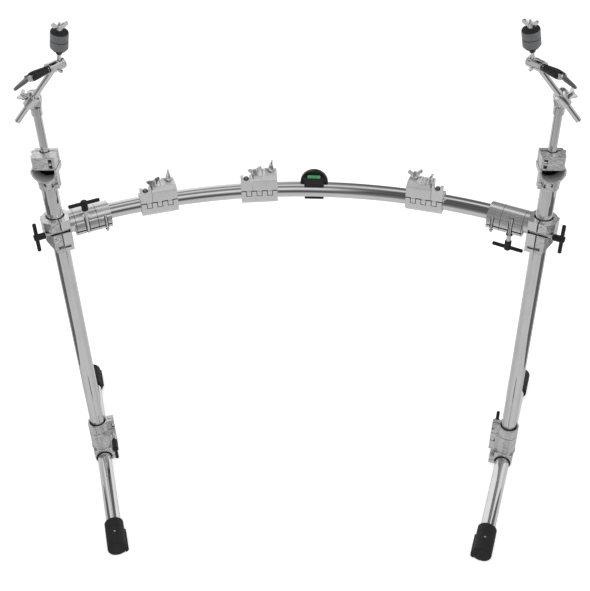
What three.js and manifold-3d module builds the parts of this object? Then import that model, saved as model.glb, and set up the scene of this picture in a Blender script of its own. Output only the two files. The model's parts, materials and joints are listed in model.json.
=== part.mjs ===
// Drum rack frame: a curved crossbar on two posts with T legs, clamps and two short cymbal booms.
// Millimetres, +Z up, origin on the floor midway between the posts, the crossbar bowed towards +Y.
import * as THREE from 'three';
import { mergeVertices } from 'three/addons/utils/BufferGeometryUtils.js';
import Module from 'manifold-3d';

const wasm = await Module();
wasm.setup();

// Driving dimensions of the whole rack
const postSpacing = 1135;
const barAboveLegs = 768.5;
const barSagitta = 165.6;
const tubeRadius = 19.05;
const tubeWall = 2;
const slip = 0.25;
const bendPlay = 0.15;
const touch = 0.3;
const studRadius = 3;
const overrun = 1;
const weld = 1e-4;
const tubeSides = 16;
const boreSides = 12;
const fineSides = 10;
const smallSides = 8;
const hubSides = 6;
const barSteps = 20;

// T clamp on the crossbar's end: a collar round the post and a split socket for the bar
const barClamp = {
  collarTop: 26,
  collarBottom: -56,
  collarWall: 11.95,
  frontWall: 5,
  outerWall: 3,
  outerCorner: 20,
  cornerCut: 14,
  earEnd: 24,
  shoulder: 12,
  seam: 2,
  socketStart: 20,
  barEndGap: 32,
  socketEnd: 126,
  socketWall: 7.95,
  padWall: 6,
  padTop: 20,
  padBottom: -28,
  padRound: 5,
  slitHeight: -18,
  slitWidth: 2.4,
  slitStart: 37,
  ringStart: 96,
  grooveWidth: 1.6,
  grooveDepth: 1,
  hingeGap: 3.5,
  knuckleRadius: 6.5,
  pinRadius: 2.5,
  postBoltGap: 9.95,
  postBoltHeight: -2,
  barBoltAlong: 66,
  barBoltGap: 8.95,
  boltEnd: 20,
  lockAlong: 111,
  lockWidth: 7,
  lockDepth: 9,
  postLockHeight: -43,
  cutCorner: 18,
};

// Clamp at the foot of a post: a hinged sleeve round the post above a split collar round the leg
const baseClamp = {
  sleeveTop: 122,
  sleeveWall: 7.95,
  sleeveStart: 30,
  postFootRise: 33,
  jawLift: 3,
  earEnd: 8,
  earThickness: 12,
  seam: 2,
  hingeDegrees: -117.5,
  hingeGap: 5.85,
  knuckleRadius: 5.4,
  knuckleCount: 3,
  pinRadius: 2.2,
  boltGap: 16.95,
  boltPlay: 1.3,
  boltHeight: 66,
  lockHeight: 106,
  lockWidth: 7,
  lockIn: 35,
  ringStart: 92,
  grooveWidth: 1.6,
  grooveDepth: 1,
  legFront: 24,
  legRear: 56,
  legWall: 4.95,
  legBlockProud: 1,
  legTop: 31,
  legEarOut: 18.95,
  legEarTop: 13,
  legEarBottom: -12,
};

// T handle: chrome screw and neck under a black grip
const tHandle = {
  screwRadius: 4,
  neckRadius: 5.5,
  barrelRadius: 7.5,
  barRadius: 3.8,
  barLength: 73,
  barFromEnd: 7,
  slotPlay: 0.7,
  crown: 2,
};

// Screw lengths from the seam of each clamp to the handle's end
const postHandle = { tip: 20, barrelStart: 36, barrelEnd: 63 };
const barHandleUp = { tip: 7.5, barrelStart: 54, barrelEnd: 79 };
const barHandleDown = { tip: 33, barrelStart: 28, barrelEnd: 53 };
const baseHandle = { tip: 11, barrelStart: 34, barrelEnd: 71 };

// Posts, legs and their rubber feet
const postTop = 120;
const leg = { toeInDegrees: 17, reach: 360, rearShift: 4 };
const foot = {
  wall: 5.95,
  sole: 4.95,
  length: 88,
  endWall: 6,
  lugProud: 3,
  lugTop: -4,
  lugLength: 58,
  lugInset: 6,
  crown: 5,
};

// Multi clamp: a lower half with hinge knuckles, a hinged upper jaw and a hinged, notched lock collar
const multi = {
  length: 89,
  collarLength: 30,
  blockGap: 2.5,
  frontWall: 8.95,
  rearWall: 5.95,
  headRise: 30.95,
  seamHeight: 7,
  seam: 2,
  floorWall: 5.95,
  stripBottom: -14,
  stripBevel: 11,
  hingeGap: 5.95,
  hingeHeight: 7,
  hingeRadius: 4.6,
  pinRadius: 1.8,
  knuckles: 7,
  bevel: 4,
  shoulder: 9,
  collarWall: 7.95,
  wall: 7,
  notchWidth: 15,
  notchDepth: 14,
  saddleRadius: 30,
  saddleRise: 3,
  jawStudAlong: 31,
  jawStudAcross: 3,
  rodStudAlong: -9,
  rodStudAcross: -17,
  studRise: 18,
};
// Places of the multi clamps, as shares of half the post spacing
const multiPlaces = [
  { name: 'left_multi_clamp', placeShare: -0.6044, hand: 1 },
  { name: 'middle_multi_clamp', placeShare: -0.17445, hand: 1 },
  { name: 'right_multi_clamp', placeShare: 0.54361, hand: -1 },
];

// Wing nut: hub and two ears
const wing = {
  hubRadius: 6,
  hubTopRadius: 4.8,
  hubHeight: 12,
  span: 34,
  rise: 17,
  thickness: 3.2,
  earRadius: 6.5,
  boltPlay: 0.6,
};

// Bubble level on its snap-on clip
const level = {
  placeShare: 0.0652,
  width: 47,
  clipWall: 4,
  clipPlay: 0.35,
  clipFromDegrees: -118,
  clipToDegrees: 138,
  discRadius: 34,
  discThickness: 9,
  discGap: 0.95,
  discFront: -3,
  housingTop: 41,
  housingFront: -16,
  vialRadius: 5,
  vialLength: 32,
  vialSunk: 2,
};

// Clamp on the top of each post: tapered collar, cross socket and hinged mast jaw
const topClamp = {
  grip: 16,
  rimWall: 3.45,
  rimHeight: 8,
  cupRadius: 29.5,
  cupWall: 4.5,
  cupRise: 35,
  cupShift: 3,
  cupFront: 26,
  rear: 22,
  rearWall: 4,
  outer: 22,
  inner: 31,
  collarWall: 4.95,
  earOut: 7.95,
  earThickness: 10,
  earSlot: 2,
  blockRise: 5,
  blockHeight: 31,
  mastX: 4,
  mastY: 8,
  seam: 2,
  jawRound: 8,
  hingeX: -22,
  knuckleRadius: 5.2,
  pinRadius: 2.2,
  keyX: 22,
  keyWidth: 7,
  keyDepth: 9,
  keyHeight: 20,
  postKeyWidth: 4,
  postKeyHeight: 8,
  postKeyDepth: 3,
  postKeyDrop: 3,
};

// Mast, boom tilter and boom arm
const mast = { radius: 9.525, wall: 1.8, footRise: 2, top: 296, collarWall: 2.975, collarHeight: 16 };
const tilter = {
  aboveMast: 25.6,
  discRadius: 17,
  discThickness: 8.6,
  strutWidth: 16,
  split: 3,
  boltEnd: 30,
  eyeWall: 6.15,
  eyeLength: 27,
  armY: -13,
  armLeanDegrees: 39.8,
};
const arm = { radius: 6.35, below: 62, toBarrel: 103.4 };

// Cymbal tilter: slotted barrel, brake sleeve and lever, rod, seat, felts and wing nut
const cymbal = {
  axisTurnDegrees: 57,
  barrelRadius: 12,
  barrelBore: 8.8,
  barrelLength: 44,
  capLength: 8,
  neckRadius: 7,
  neckLength: 4,
  sleeveRadius: 10,
  sleeveLength: 42,
  rotorPlay: 0.4,
  rotorLength: 20,
  rodAlong: 10,
  rodFootRadius: 4,
  rodLength: 99,
  rodLeanDegrees: 15,
  slotReachDegrees: 71,
  slotPlay: 0.8,
  seatStart: 25,
  seatNeckRadius: 7,
  seatRadius: 14,
  seatLength: 15,
  seatLip: 5,
  feltRadius: 19.3,
  feltHeight: 17.5,
  feltGroove: 1.6,
  feltNeck: 16,
  nutGap: 2,
};
const lever = {
  earGap: 7,
  earWidth: 14,
  earRadius: 6,
  eyeRadius: 5.5,
  droopDegrees: 14,
  neckRadius: 2.9,
  gripRadius: 5.4,
  gripTip: 4,
  gripStart: 14,
  length: 40,
  pinRadius: 2,
};

// Sizes that follow the tube, the posts and each other
Object.assign(barClamp, {
  collarRadius: tubeRadius + barClamp.collarWall,
  socketRadius: tubeRadius + barClamp.socketWall,
  postBoltOffset: tubeRadius + barClamp.postBoltGap,
  barBoltOffset: tubeRadius + barClamp.barBoltGap,
});
Object.assign(barClamp, {
  front: barClamp.collarRadius + barClamp.frontWall,
  outerSide: barClamp.collarRadius + barClamp.outerWall,
  hingeOut: barClamp.collarRadius + barClamp.hingeGap,
  padFront: barClamp.socketRadius + barClamp.padWall,
});
Object.assign(baseClamp, {
  sleeveRadius: tubeRadius + baseClamp.sleeveWall,
  jawStart: baseClamp.postFootRise + baseClamp.jawLift,
  hingeOut: tubeRadius + baseClamp.hingeGap,
  boltOut: tubeRadius + baseClamp.boltGap,
  legRadius: tubeRadius + baseClamp.legWall,
  legEarReach: tubeRadius + baseClamp.legEarOut,
});
baseClamp.earReach = baseClamp.boltOut + baseClamp.earEnd;
baseClamp.legHalfWidth = baseClamp.legRadius + baseClamp.legBlockProud;
Object.assign(foot, { radius: tubeRadius + foot.wall, drop: tubeRadius + foot.sole });
foot.lugReach = foot.radius + foot.lugProud;
Object.assign(multi, {
  frontFace: tubeRadius + multi.frontWall,
  rear: tubeRadius + multi.rearWall,
  top: tubeRadius + multi.headRise,
  bottom: -tubeRadius - multi.floorWall,
  hingeOut: tubeRadius + multi.hingeGap,
  collarRadius: tubeRadius + multi.collarWall,
});
multi.studTop = multi.top + multi.studRise;
wing.boreRadius = studRadius + wing.boltPlay;
level.discBase = tubeRadius + level.discGap;
Object.assign(topClamp, {
  bottom: postTop - topClamp.grip,
  rimRadius: tubeRadius + topClamp.rimWall,
  collarFront: tubeRadius + topClamp.collarWall,
  earReach: tubeRadius + topClamp.earOut,
  cupBore: topClamp.cupRadius - topClamp.cupWall,
  cupHeight: postTop + topClamp.cupRise,
  postKeyBase: postTop - topClamp.postKeyDrop,
});
topClamp.blockBottom = topClamp.cupHeight + topClamp.blockRise;
topClamp.top = topClamp.blockBottom + topClamp.blockHeight;
mast.collarRadius = mast.radius + mast.collarWall;
tilter.height = mast.top + tilter.aboveMast;
tilter.eyeRadius = arm.radius + tilter.eyeWall;
cymbal.rotorRadius = cymbal.barrelBore - cymbal.rotorPlay;

// Finishes taken from the photograph
const finishes = {
  chrome: { color: 0xd8dade, roughness: 0.12, metalness: 1 },
  casting: { color: 0xb9babd, roughness: 0.38, metalness: 0.9 },
  blackGrip: { color: 0x1b1b1c, roughness: 0.5, metalness: 0.1 },
  rubber: { color: 0x2a2a2b, roughness: 0.85, metalness: 0 },
  felt: { color: 0x6c6c74, roughness: 1, metalness: 0 },
  levelBody: { color: 0x151515, roughness: 0.4, metalness: 0 },
  vial: { color: 0x4f9a64, roughness: 0.1, metalness: 0 },
};

const radians = THREE.MathUtils.degToRad;

function signedVolume(places, corners) {
  const at = (i) => new THREE.Vector3().fromArray(places, 3 * i);
  let total = 0;
  for (let i = 0; i < corners.length; i += 3) {
    total += at(corners[i]).dot(at(corners[i + 1]).cross(at(corners[i + 2])));
  }
  return total / 6;
}

// A geometry as a closed solid with welded corners and its faces pointing out
function toSolid(geometry) {
  const plain = new THREE.BufferGeometry();
  plain.setAttribute('position', geometry.getAttribute('position').clone());
  if (geometry.index) plain.setIndex(geometry.index.clone());
  const merged = mergeVertices(plain, weld);
  const corners = merged.index.array;
  const kept = [];
  for (let i = 0; i < corners.length; i += 3) {
    const [a, b, c] = corners.slice(i, i + 3);
    if (a !== b && b !== c && c !== a) kept.push(a, b, c);
  }
  const vertProperties = new Float32Array(merged.getAttribute('position').array);
  if (signedVolume(vertProperties, kept) < 0) kept.reverse();
  return new wasm.Manifold(new wasm.Mesh({ numProp: 3, vertProperties, triVerts: new Uint32Array(kept) }));
}

function toGeometry(solid) {
  const mesh = solid.getMesh();
  const geometry = new THREE.BufferGeometry();
  geometry.setAttribute('position', new THREE.BufferAttribute(new Float32Array(mesh.vertProperties), 3));
  geometry.setIndex(new THREE.BufferAttribute(new Uint32Array(mesh.triVerts), 1));
  return geometry;
}

function combine(operation, base, others) {
  let solid = toSolid(base);
  for (const other of others) solid = solid[operation](toSolid(other));
  return toGeometry(solid);
}

const join = (base, ...others) => combine('add', base, others);
const cut = (base, ...others) => combine('subtract', base, others);
const common = (base, ...others) => combine('intersect', base, others);

// Turn a geometry made along +Z so that it runs along the named axis; each turn takes Z to X to Y
const axisTurns = { z: 0, x: 1, y: 2 };

function turnTo(axis, geometry) {
  for (let i = 0; i < axisTurns[axis]; i++) geometry.rotateX(Math.PI / 2).rotateZ(Math.PI / 2);
  return geometry;
}

function cylinder(axis, radius, from, to, sides = fineSides) {
  const geometry = new THREE.CylinderGeometry(radius, radius, to - from, sides);
  geometry.rotateX(Math.PI / 2).translate(0, 0, (from + to) / 2);
  return turnTo(axis, geometry);
}

// A cutter whose flat sides, not its corners, lie at the radius
function hole(axis, radius, from, to, sides = fineSides) {
  return cylinder(axis, radius / Math.cos(Math.PI / sides), from, to, sides);
}

function box(x, y, z) {
  const geometry = new THREE.BoxGeometry(x[1] - x[0], y[1] - y[0], z[1] - z[0]);
  return geometry.translate((x[0] + x[1]) / 2, (y[0] + y[1]) / 2, (z[0] + z[1]) / 2);
}

// A profile of [radius, along] points revolved about the named axis
function turned(axis, profile, sides = fineSides) {
  const points = profile.map(([radius, along]) => new THREE.Vector2(radius, along));
  const geometry = new THREE.LatheGeometry(points, sides);
  geometry.rotateX(Math.PI / 2);
  return turnTo(axis, geometry);
}

function outline(points) {
  return new THREE.Shape(points.map(([a, b]) => new THREE.Vector2(a, b)));
}

// A flat outline extruded along an axis: the outline's plane is XY for z, YZ for x and ZX for y
function prism(axis, shape, from, to, curveSegments = smallSides) {
  const settings = { depth: to - from, bevelEnabled: false, curveSegments };
  return turnTo(axis, new THREE.ExtrudeGeometry(shape, settings).translate(0, 0, from));
}

// A ring sector between two radii, in degrees
function sector(inner, outer, from, to) {
  const shape = new THREE.Shape();
  shape.absarc(0, 0, outer, radians(from), radians(to), false);
  shape.absarc(0, 0, inner, radians(to), radians(from), true);
  shape.closePath();
  return shape;
}

function ringShape(inner, outer) {
  const shape = new THREE.Shape();
  shape.absarc(0, 0, outer, 0, 2 * Math.PI, false);
  const hole = new THREE.Path();
  hole.absarc(0, 0, inner, 0, 2 * Math.PI, true);
  shape.holes.push(hole);
  return shape;
}

function ring(axis, inner, outer, from, to) {
  return prism(axis, ringShape(inner, outer), from, to, tubeSides / 2);
}

function roundedBox(width, depth, radius) {
  const shape = new THREE.Shape();
  const [w, d] = [width / 2 - radius, depth / 2 - radius];
  shape.absarc(w, d, radius, 0, Math.PI / 2, false);
  shape.absarc(-w, d, radius, Math.PI / 2, Math.PI, false);
  shape.absarc(-w, -d, radius, Math.PI, 1.5 * Math.PI, false);
  shape.absarc(w, -d, radius, 1.5 * Math.PI, 2 * Math.PI, false);
  shape.closePath();
  return shape;
}

// A node of the model with a finish of its own
function piece(name, geometry, finish) {
  const mesh = new THREE.Mesh(geometry, new THREE.MeshStandardMaterial(finishes[finish]));
  mesh.name = name;
  return mesh;
}

function group(position, ...children) {
  const holder = new THREE.Group();
  holder.position.set(...position);
  holder.add(...children);
  return holder;
}

// The crossbar's circle, seen from above, with the bar's middle at the back
const halfSpan = postSpacing / 2;
const barRadius = (halfSpan ** 2 + barSagitta ** 2) / (2 * barSagitta);
const barHalfAngle = Math.asin(halfSpan / barRadius);
const barCentreY = barSagitta - barRadius;
const barHeight = foot.drop + barAboveLegs;

function barPoint(angle) {
  return [barRadius * Math.sin(angle), barCentreY + barRadius * Math.cos(angle)];
}

// How far the curved bar strays from a straight bore of a given length, to each side
const strayOver = (length) => length ** 2 / (16 * barRadius);

class BarArc extends THREE.Curve {
  constructor(halfAngle) {
    super();
    this.halfAngle = halfAngle;
  }

  getPoint(share) {
    const [x, y] = barPoint((2 * share - 1) * this.halfAngle);
    return new THREE.Vector3(x, y, 0);
  }
}

function crossbarTube() {
  const halfAngle = barHalfAngle - (barClamp.barEndGap + overrun) / barRadius;
  const settings = { steps: barSteps, curveSegments: boreSides / 2, extrudePath: new BarArc(halfAngle) };
  return new THREE.ExtrudeGeometry(ringShape(tubeRadius - tubeWall, tubeRadius), settings);
}

// T handle along +X from the screw's tip, with the seam that it closes at x = 0
function handle({ tip, barrelStart, barrelEnd }, seat, barAxis) {
  const { screwRadius, neckRadius, barrelRadius, barRadius, barLength, crown } = tHandle;
  const grip = turned('x', [
    [0, -tip],
    [screwRadius, -tip],
    [screwRadius, seat + touch],
    [neckRadius, seat + touch],
    [neckRadius, barrelStart],
    [barrelRadius, barrelStart],
    [barrelRadius, barrelEnd - crown],
    [barrelRadius - crown, barrelEnd],
    [0, barrelEnd],
  ], smallSides);
  const bar = cylinder(barAxis, barRadius, -barLength / 2, barLength / 2, smallSides);
  return join(grip, bar.translate(barrelEnd - tHandle.barFromEnd, 0, 0));
}

// Slot for a T handle's screw, from the screw's axis outwards
const slotHalf = tHandle.screwRadius + tHandle.slotPlay;

// Alternating knuckles along Z between two heights: even ones for one piece, odd ones for the other
function knuckles(radius, x, y, bottom, top, count, odd, gap) {
  const pitch = (top - bottom) / count;
  const found = [];
  for (let i = odd ? 1 : 0; i < count; i += 2) {
    const low = bottom + i * pitch + gap / 2;
    const high = bottom + (i + 1) * pitch - gap / 2;
    found.push(cylinder('z', radius, low, high, smallSides).translate(x, y, 0));
  }
  return found;
}

// Plan outline of the crossbar clamp's collar, with a flat front for the seam's two ears
function collarOutline() {
  const { collarRadius, front, outerSide, outerCorner, cornerCut, earEnd, shoulder } = barClamp;
  const shape = new THREE.Shape();
  shape.moveTo(-outerSide, -outerCorner);
  shape.lineTo(-outerSide + cornerCut, -front);
  shape.lineTo(earEnd, -front);
  shape.absarc(0, 0, collarRadius, -Math.asin(shoulder / collarRadius), radians(150), false);
  shape.lineTo(-outerSide, shoulder);
  shape.closePath();
  return shape;
}

function postSlot(from, to) {
  const { front, postBoltOffset, postBoltHeight } = barClamp;
  const z = [postBoltHeight - slotHalf, postBoltHeight + slotHalf];
  return box([from, to], [-front - overrun, -postBoltOffset + slotHalf], z);
}

function postLockSlot() {
  const { front, lockWidth, lockDepth, postLockHeight, earEnd, shoulder } = barClamp;
  const z = [postLockHeight - lockWidth / 2, postLockHeight + lockWidth / 2];
  return box([-shoulder, earEnd - shoulder / 2], [-front - overrun, -front + lockDepth], z);
}

const barClampKnuckles = (odd, radius, gap) => {
  const { seam, hingeOut, collarBottom, collarTop } = barClamp;
  return knuckles(radius, seam / 2, hingeOut, collarBottom, collarTop, 3, odd, gap);
};

// Cast body: fixed half of the post collar and the split socket, whose axis is X
function barClampBody(handleDown) {
  const c = barClamp;
  const collar = prism('z', collarOutline(), c.collarBottom, c.collarTop);
  const fixedHalf = common(
    collar,
    box([c.seam, 2 * c.collarRadius], [-2 * c.front, 2 * c.front], [2 * c.collarBottom, 2 * c.collarTop]),
  );
  const socket = cylinder('x', c.socketRadius, c.socketStart, c.socketEnd, tubeSides);
  const pad = prism('x', outline([
    [-c.shoulder, c.padTop],
    [-c.padFront + c.padRound, c.padTop],
    [-c.padFront, c.padTop - c.padRound],
    [-c.padFront, c.padBottom + c.padRound],
    [-c.padFront + c.padRound, c.padBottom],
    [-c.shoulder, c.padBottom],
  ]), c.slitStart, c.socketEnd);
  const pin = cylinder('z', c.pinRadius, c.collarBottom, c.collarTop, smallSides);
  const shell = join(fixedHalf, socket, pad, ...barClampKnuckles(false, c.knuckleRadius, 0));

  const boreRadius = tubeRadius + strayOver(c.socketEnd) + slip + bendPlay;
  const postBore = hole('z', tubeRadius + slip, 2 * c.collarBottom, 2 * c.collarTop, boreSides);
  const barBore = hole('x', boreRadius, c.barEndGap, c.socketEnd + overrun, boreSides)
    .translate(0, strayOver(c.socketEnd), 0);
  const wide = [-c.socketRadius - c.padFront, 0];
  const slit = box(
    [c.slitStart, c.socketEnd + overrun],
    wide,
    [c.slitHeight - c.slitWidth / 2, c.slitHeight + c.slitWidth / 2],
  );
  const slotHeights = handleDown
    ? [c.padBottom - overrun, c.slitHeight + barHandleDown.tip + overrun]
    : [c.slitHeight - barHandleUp.tip - overrun, c.padTop + overrun];
  const barSlot = box(
    [c.barBoltAlong - slotHalf, c.barBoltAlong + slotHalf],
    [-c.padFront - overrun, -c.barBoltOffset + slotHalf],
    slotHeights,
  );
  const lockSlot = box(
    [c.lockAlong - c.lockWidth / 2, c.lockAlong + c.lockWidth / 2],
    [-c.padFront - overrun, -c.padFront + c.lockDepth],
    [c.padBottom - overrun, c.padTop - c.shoulder],
  );
  const grooves = [c.slitStart, c.ringStart].map((x) => {
    return ring('x', c.socketRadius - c.grooveDepth, 2 * c.padFront, x, x + c.grooveWidth);
  });
  const clearings = barClampKnuckles(true, c.knuckleRadius + touch, 0);
  const body = cut(
    shell, postBore, barBore, slit, barSlot, lockSlot, postLockSlot(), ...grooves, ...clearings,
    postSlot(c.seam - overrun, c.boltEnd + slotHalf / 2),
  );
  return join(body, pin.translate(c.seam / 2, c.hingeOut, 0));
}

// Hinged outer jaw of the post collar
function barClampJaw() {
  const c = barClamp;
  const heights = [2 * c.collarBottom, 2 * c.collarTop];
  const collar = prism('z', collarOutline(), c.collarBottom, c.collarTop);
  const half = common(collar, box([-2 * c.outerSide, 0], [-2 * c.front, 2 * c.front], heights));
  const whole = join(half, ...barClampKnuckles(true, c.knuckleRadius, 2 * touch));
  const lowCorner = prism('y', outline([
    [c.collarBottom - overrun, -c.outerSide - overrun],
    [c.collarBottom + c.cutCorner + c.cornerCut, -c.outerSide - overrun],
    [c.collarBottom - overrun, -c.outerSide + c.cutCorner],
  ]), -2 * c.front, 2 * c.front);
  return cut(
    whole,
    hole('z', tubeRadius + slip, ...heights, boreSides),
    postSlot(-2 * c.outerSide, overrun),
    postLockSlot(),
    lowCorner,
    ...barClampKnuckles(false, c.knuckleRadius + touch, -2 * touch),
    hole('z', c.pinRadius + touch, ...heights, smallSides).translate(c.seam / 2, c.hingeOut, 0),
  );
}

// Crossbar clamp with its post jaw and two T handles, built for the left end
function barClampAssembly(side, handleDown) {
  const c = barClamp;
  const postGrip = piece(
    `${side}_bar_clamp_post_handle`,
    handle(postHandle, c.outerSide, 'z'),
    'blackGrip',
  );
  postGrip.position.set(0, -c.postBoltOffset, c.postBoltHeight);
  postGrip.rotation.z = Math.PI;
  const sizes = handleDown ? barHandleDown : barHandleUp;
  const seat = handleDown ? c.slitHeight - c.padBottom : c.padTop - c.slitHeight;
  const barGrip = piece(`${side}_bar_clamp_bar_handle`, handle(sizes, seat, 'z'), 'blackGrip');
  barGrip.position.set(c.barBoltAlong, -c.barBoltOffset, c.slitHeight);
  barGrip.rotation.y = handleDown ? Math.PI / 2 : -Math.PI / 2;
  const clamp = group(
    [-halfSpan, 0, barHeight],
    piece(`${side}_bar_clamp_body`, barClampBody(handleDown), 'casting'),
    piece(`${side}_bar_clamp_jaw`, barClampJaw(), 'casting'),
    postGrip,
    barGrip,
  );
  clamp.rotation.z = barHalfAngle - c.socketEnd / (2 * barRadius);
  return clamp;
}

// Round part of the base clamp that holds the post, before it is split
function baseSleeve(bottom) {
  const b = baseClamp;
  const ears = box([tubeRadius, b.earReach], [-b.earThickness, b.earThickness], [bottom, b.sleeveTop]);
  return join(cylinder('z', b.sleeveRadius, bottom, b.sleeveTop, tubeSides), ears);
}

const baseHinge = [
  baseClamp.hingeOut * Math.cos(radians(baseClamp.hingeDegrees)),
  baseClamp.hingeOut * Math.sin(radians(baseClamp.hingeDegrees)),
];

const baseKnuckles = (odd, radius, gap) => {
  const { jawStart, sleeveTop, knuckleCount } = baseClamp;
  return knuckles(radius, ...baseHinge, jawStart, sleeveTop, knuckleCount, odd, gap);
};

// The wedge of the sleeve that swings open, between the hinge and the seam, less a gap at each end
function jawWedge(gap) {
  const b = baseClamp;
  const reach = 3 * b.earReach;
  const hingeDirection = radians(b.hingeDegrees);
  const across = [-Math.sin(hingeDirection), Math.cos(hingeDirection)];
  const shape = outline([
    [across[0] * gap, across[1] * gap],
    [Math.cos(hingeDirection) * reach + across[0] * gap, Math.sin(hingeDirection) * reach + across[1] * gap],
    [0, -reach],
    [reach, -reach],
    [reach, -gap],
  ]);
  return prism('z', shape, b.jawStart - touch, b.sleeveTop + overrun);
}

function baseSlots() {
  const b = baseClamp;
  const across = [-b.earThickness - overrun, b.earThickness + overrun];
  const lock = [b.lockHeight - b.lockWidth / 2, b.lockHeight + b.lockWidth / 2];
  return [
    box([b.boltOut - slotHalf - b.boltPlay, b.earReach + overrun], across, [b.boltHeight - slotHalf, b.boltHeight + slotHalf]),
    box([b.lockIn, b.earReach + overrun], across, lock),
    ring('z', b.sleeveRadius - b.grooveDepth, 2 * b.earReach, b.ringStart, b.ringStart + b.grooveWidth),
  ];
}

// Cast body with the leg along Y and the post along Z
function baseClampBody() {
  const b = baseClamp;
  const legRound = cylinder('y', b.legRadius, -b.legFront, b.legRear, tubeSides);
  const legBlock = box([-b.legHalfWidth, b.legHalfWidth], [-b.legFront, b.legFront + overrun], [0, b.legTop]);
  const legEars = box([tubeRadius, b.legEarReach], [-b.legFront, b.legRear], [b.legEarBottom, b.legEarTop]);
  const collar = cylinder('z', b.sleeveRadius + b.grooveDepth, b.sleeveStart, b.jawStart - touch, tubeSides);
  const sleeve = cut(baseSleeve(b.sleeveStart), jawWedge(0));
  const shell = join(legRound, legBlock, legEars, collar, sleeve, ...baseKnuckles(false, b.knuckleRadius, 0));
  const slit = box([0, b.legEarReach + overrun], [-2 * b.legFront, 2 * b.legRear], [0, b.seam]);
  const body = cut(
    shell,
    hole('z', tubeRadius + slip, b.postFootRise, b.sleeveTop + overrun, boreSides),
    hole('y', tubeRadius + slip, -2 * b.legFront, 2 * b.legRear, boreSides),
    slit,
    ...baseSlots(),
    ...baseKnuckles(true, b.knuckleRadius + touch, 0),
  );
  const pin = cylinder('z', b.pinRadius, b.jawStart, b.sleeveTop, smallSides);
  return join(body, pin.translate(...baseHinge, 0));
}

// Hinged inner front jaw of the base clamp's post sleeve
function baseClampJaw() {
  const b = baseClamp;
  const wedge = common(baseSleeve(b.jawStart), jawWedge(b.seam));
  const whole = join(wedge, ...baseKnuckles(true, b.knuckleRadius, 2 * touch));
  const heights = [b.jawStart - overrun, b.sleeveTop + overrun];
  return cut(
    whole,
    hole('z', tubeRadius + slip, ...heights, boreSides),
    ...baseSlots(),
    ...baseKnuckles(false, b.knuckleRadius + touch, -2 * touch),
    hole('z', b.pinRadius + touch, ...heights, smallSides).translate(...baseHinge, 0),
  );
}

function legTube() {
  const inside = foot.endWall + touch;
  return ring('y', tubeRadius - tubeWall, tubeRadius, -leg.reach + inside, leg.reach - inside);
}

// Rubber foot over the leg's front end, cut flat underneath, with a lug that stops the leg rolling
function rubberFoot() {
  const f = foot;
  const cap = turned('y', [
    [0, -leg.reach],
    [f.radius - f.crown, -leg.reach],
    [f.radius, -leg.reach + f.crown],
    [f.radius, -leg.reach + f.length],
    [0, -leg.reach + f.length],
  ], tubeSides);
  const lugEnds = [-leg.reach + f.lugInset, -leg.reach + f.lugInset + f.lugLength];
  const lug = prism('y', outline([
    [-f.drop, 0],
    [-f.drop, f.lugReach - f.crown],
    [-f.drop + f.crown, f.lugReach],
    [f.lugTop, f.lugReach],
    [f.lugTop + f.crown, f.radius - f.crown],
    [f.lugTop + f.crown, 0],
  ]), ...lugEnds);
  const below = box([-2 * f.radius, 2 * f.radius], [-2 * leg.reach, 0], [-2 * f.radius, -f.drop]);
  const bore = hole('y', tubeRadius + slip, -leg.reach + f.endWall, 0, boreSides);
  return cut(join(cap, lug), below, bore);
}

// Leg, base clamp and two feet, built for the left post with the leg along Y
function baseAssembly(side, handleBehind) {
  const b = baseClamp;
  const grip = piece(`${side}_base_clamp_handle`, handle(baseHandle, b.earThickness, 'z'), 'blackGrip');
  grip.position.set(b.boltOut, 0, b.boltHeight);
  grip.rotation.z = handleBehind ? Math.PI / 2 : -Math.PI / 2;
  const rearFoot = piece(`${side}_rear_foot`, rubberFoot(), 'rubber');
  rearFoot.scale.y = -1;
  const legs = group(
    [0, leg.rearShift, 0],
    piece(`${side}_leg_tube`, legTube(), 'chrome'),
    piece(`${side}_front_foot`, rubberFoot(), 'rubber'),
    rearFoot,
  );
  const base = group(
    [-halfSpan, 0, foot.drop],
    piece(`${side}_base_clamp_body`, baseClampBody(), 'casting'),
    piece(`${side}_base_clamp_jaw`, baseClampJaw(), 'casting'),
    grip,
    legs,
  );
  base.rotation.z = radians(leg.toeInDegrees);
  return base;
}

function postTube() {
  const bottom = baseClamp.postFootRise + touch - barAboveLegs;
  return ring('z', tubeRadius - tubeWall, tubeRadius, bottom, postTop);
}

// Wing nut standing on z = 0
function wingNut() {
  const w = wing;
  const hub = turned('z', [
    [w.boreRadius, 0],
    [w.hubRadius, 0],
    [w.hubTopRadius, w.hubHeight],
    [w.boreRadius, w.hubHeight],
    [w.boreRadius, 0],
  ], hubSides);
  const inner = (w.boreRadius + w.hubTopRadius) / 2;
  const shape = new THREE.Shape();
  shape.moveTo(w.hubHeight / 6, inner);
  shape.absarc(w.rise - w.earRadius, w.span / 2 - w.earRadius, w.earRadius, radians(190), radians(-20), true);
  shape.lineTo(w.hubHeight - w.thickness / 2, inner);
  shape.closePath();
  const ears = [0, Math.PI].map((turn) => {
    return prism('y', shape, -w.thickness / 2, w.thickness / 2, smallSides / 4).rotateZ(turn);
  });
  return join(hub, ...ears);
}

// Multi clamp pieces: X along the bar, the lock collar at -X, the bar's axis at the origin
const multiHalf = multi.length / 2;
const multiSplit = -multiHalf + multi.collarLength;
const multiBore = tubeRadius + 2 * strayOver(multi.length) + slip + bendPlay;

function multiKnuckles(odd, radius, gap) {
  const pitch = multi.length / multi.knuckles;
  const found = [];
  for (let i = odd ? 1 : 0; i < multi.knuckles; i += 2) {
    const from = -multiHalf + i * pitch + gap / 2;
    const to = -multiHalf + (i + 1) * pitch - gap / 2;
    found.push(cylinder('x', radius, from, to, smallSides).translate(0, -multi.hingeOut, multi.hingeHeight));
  }
  return found;
}

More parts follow.
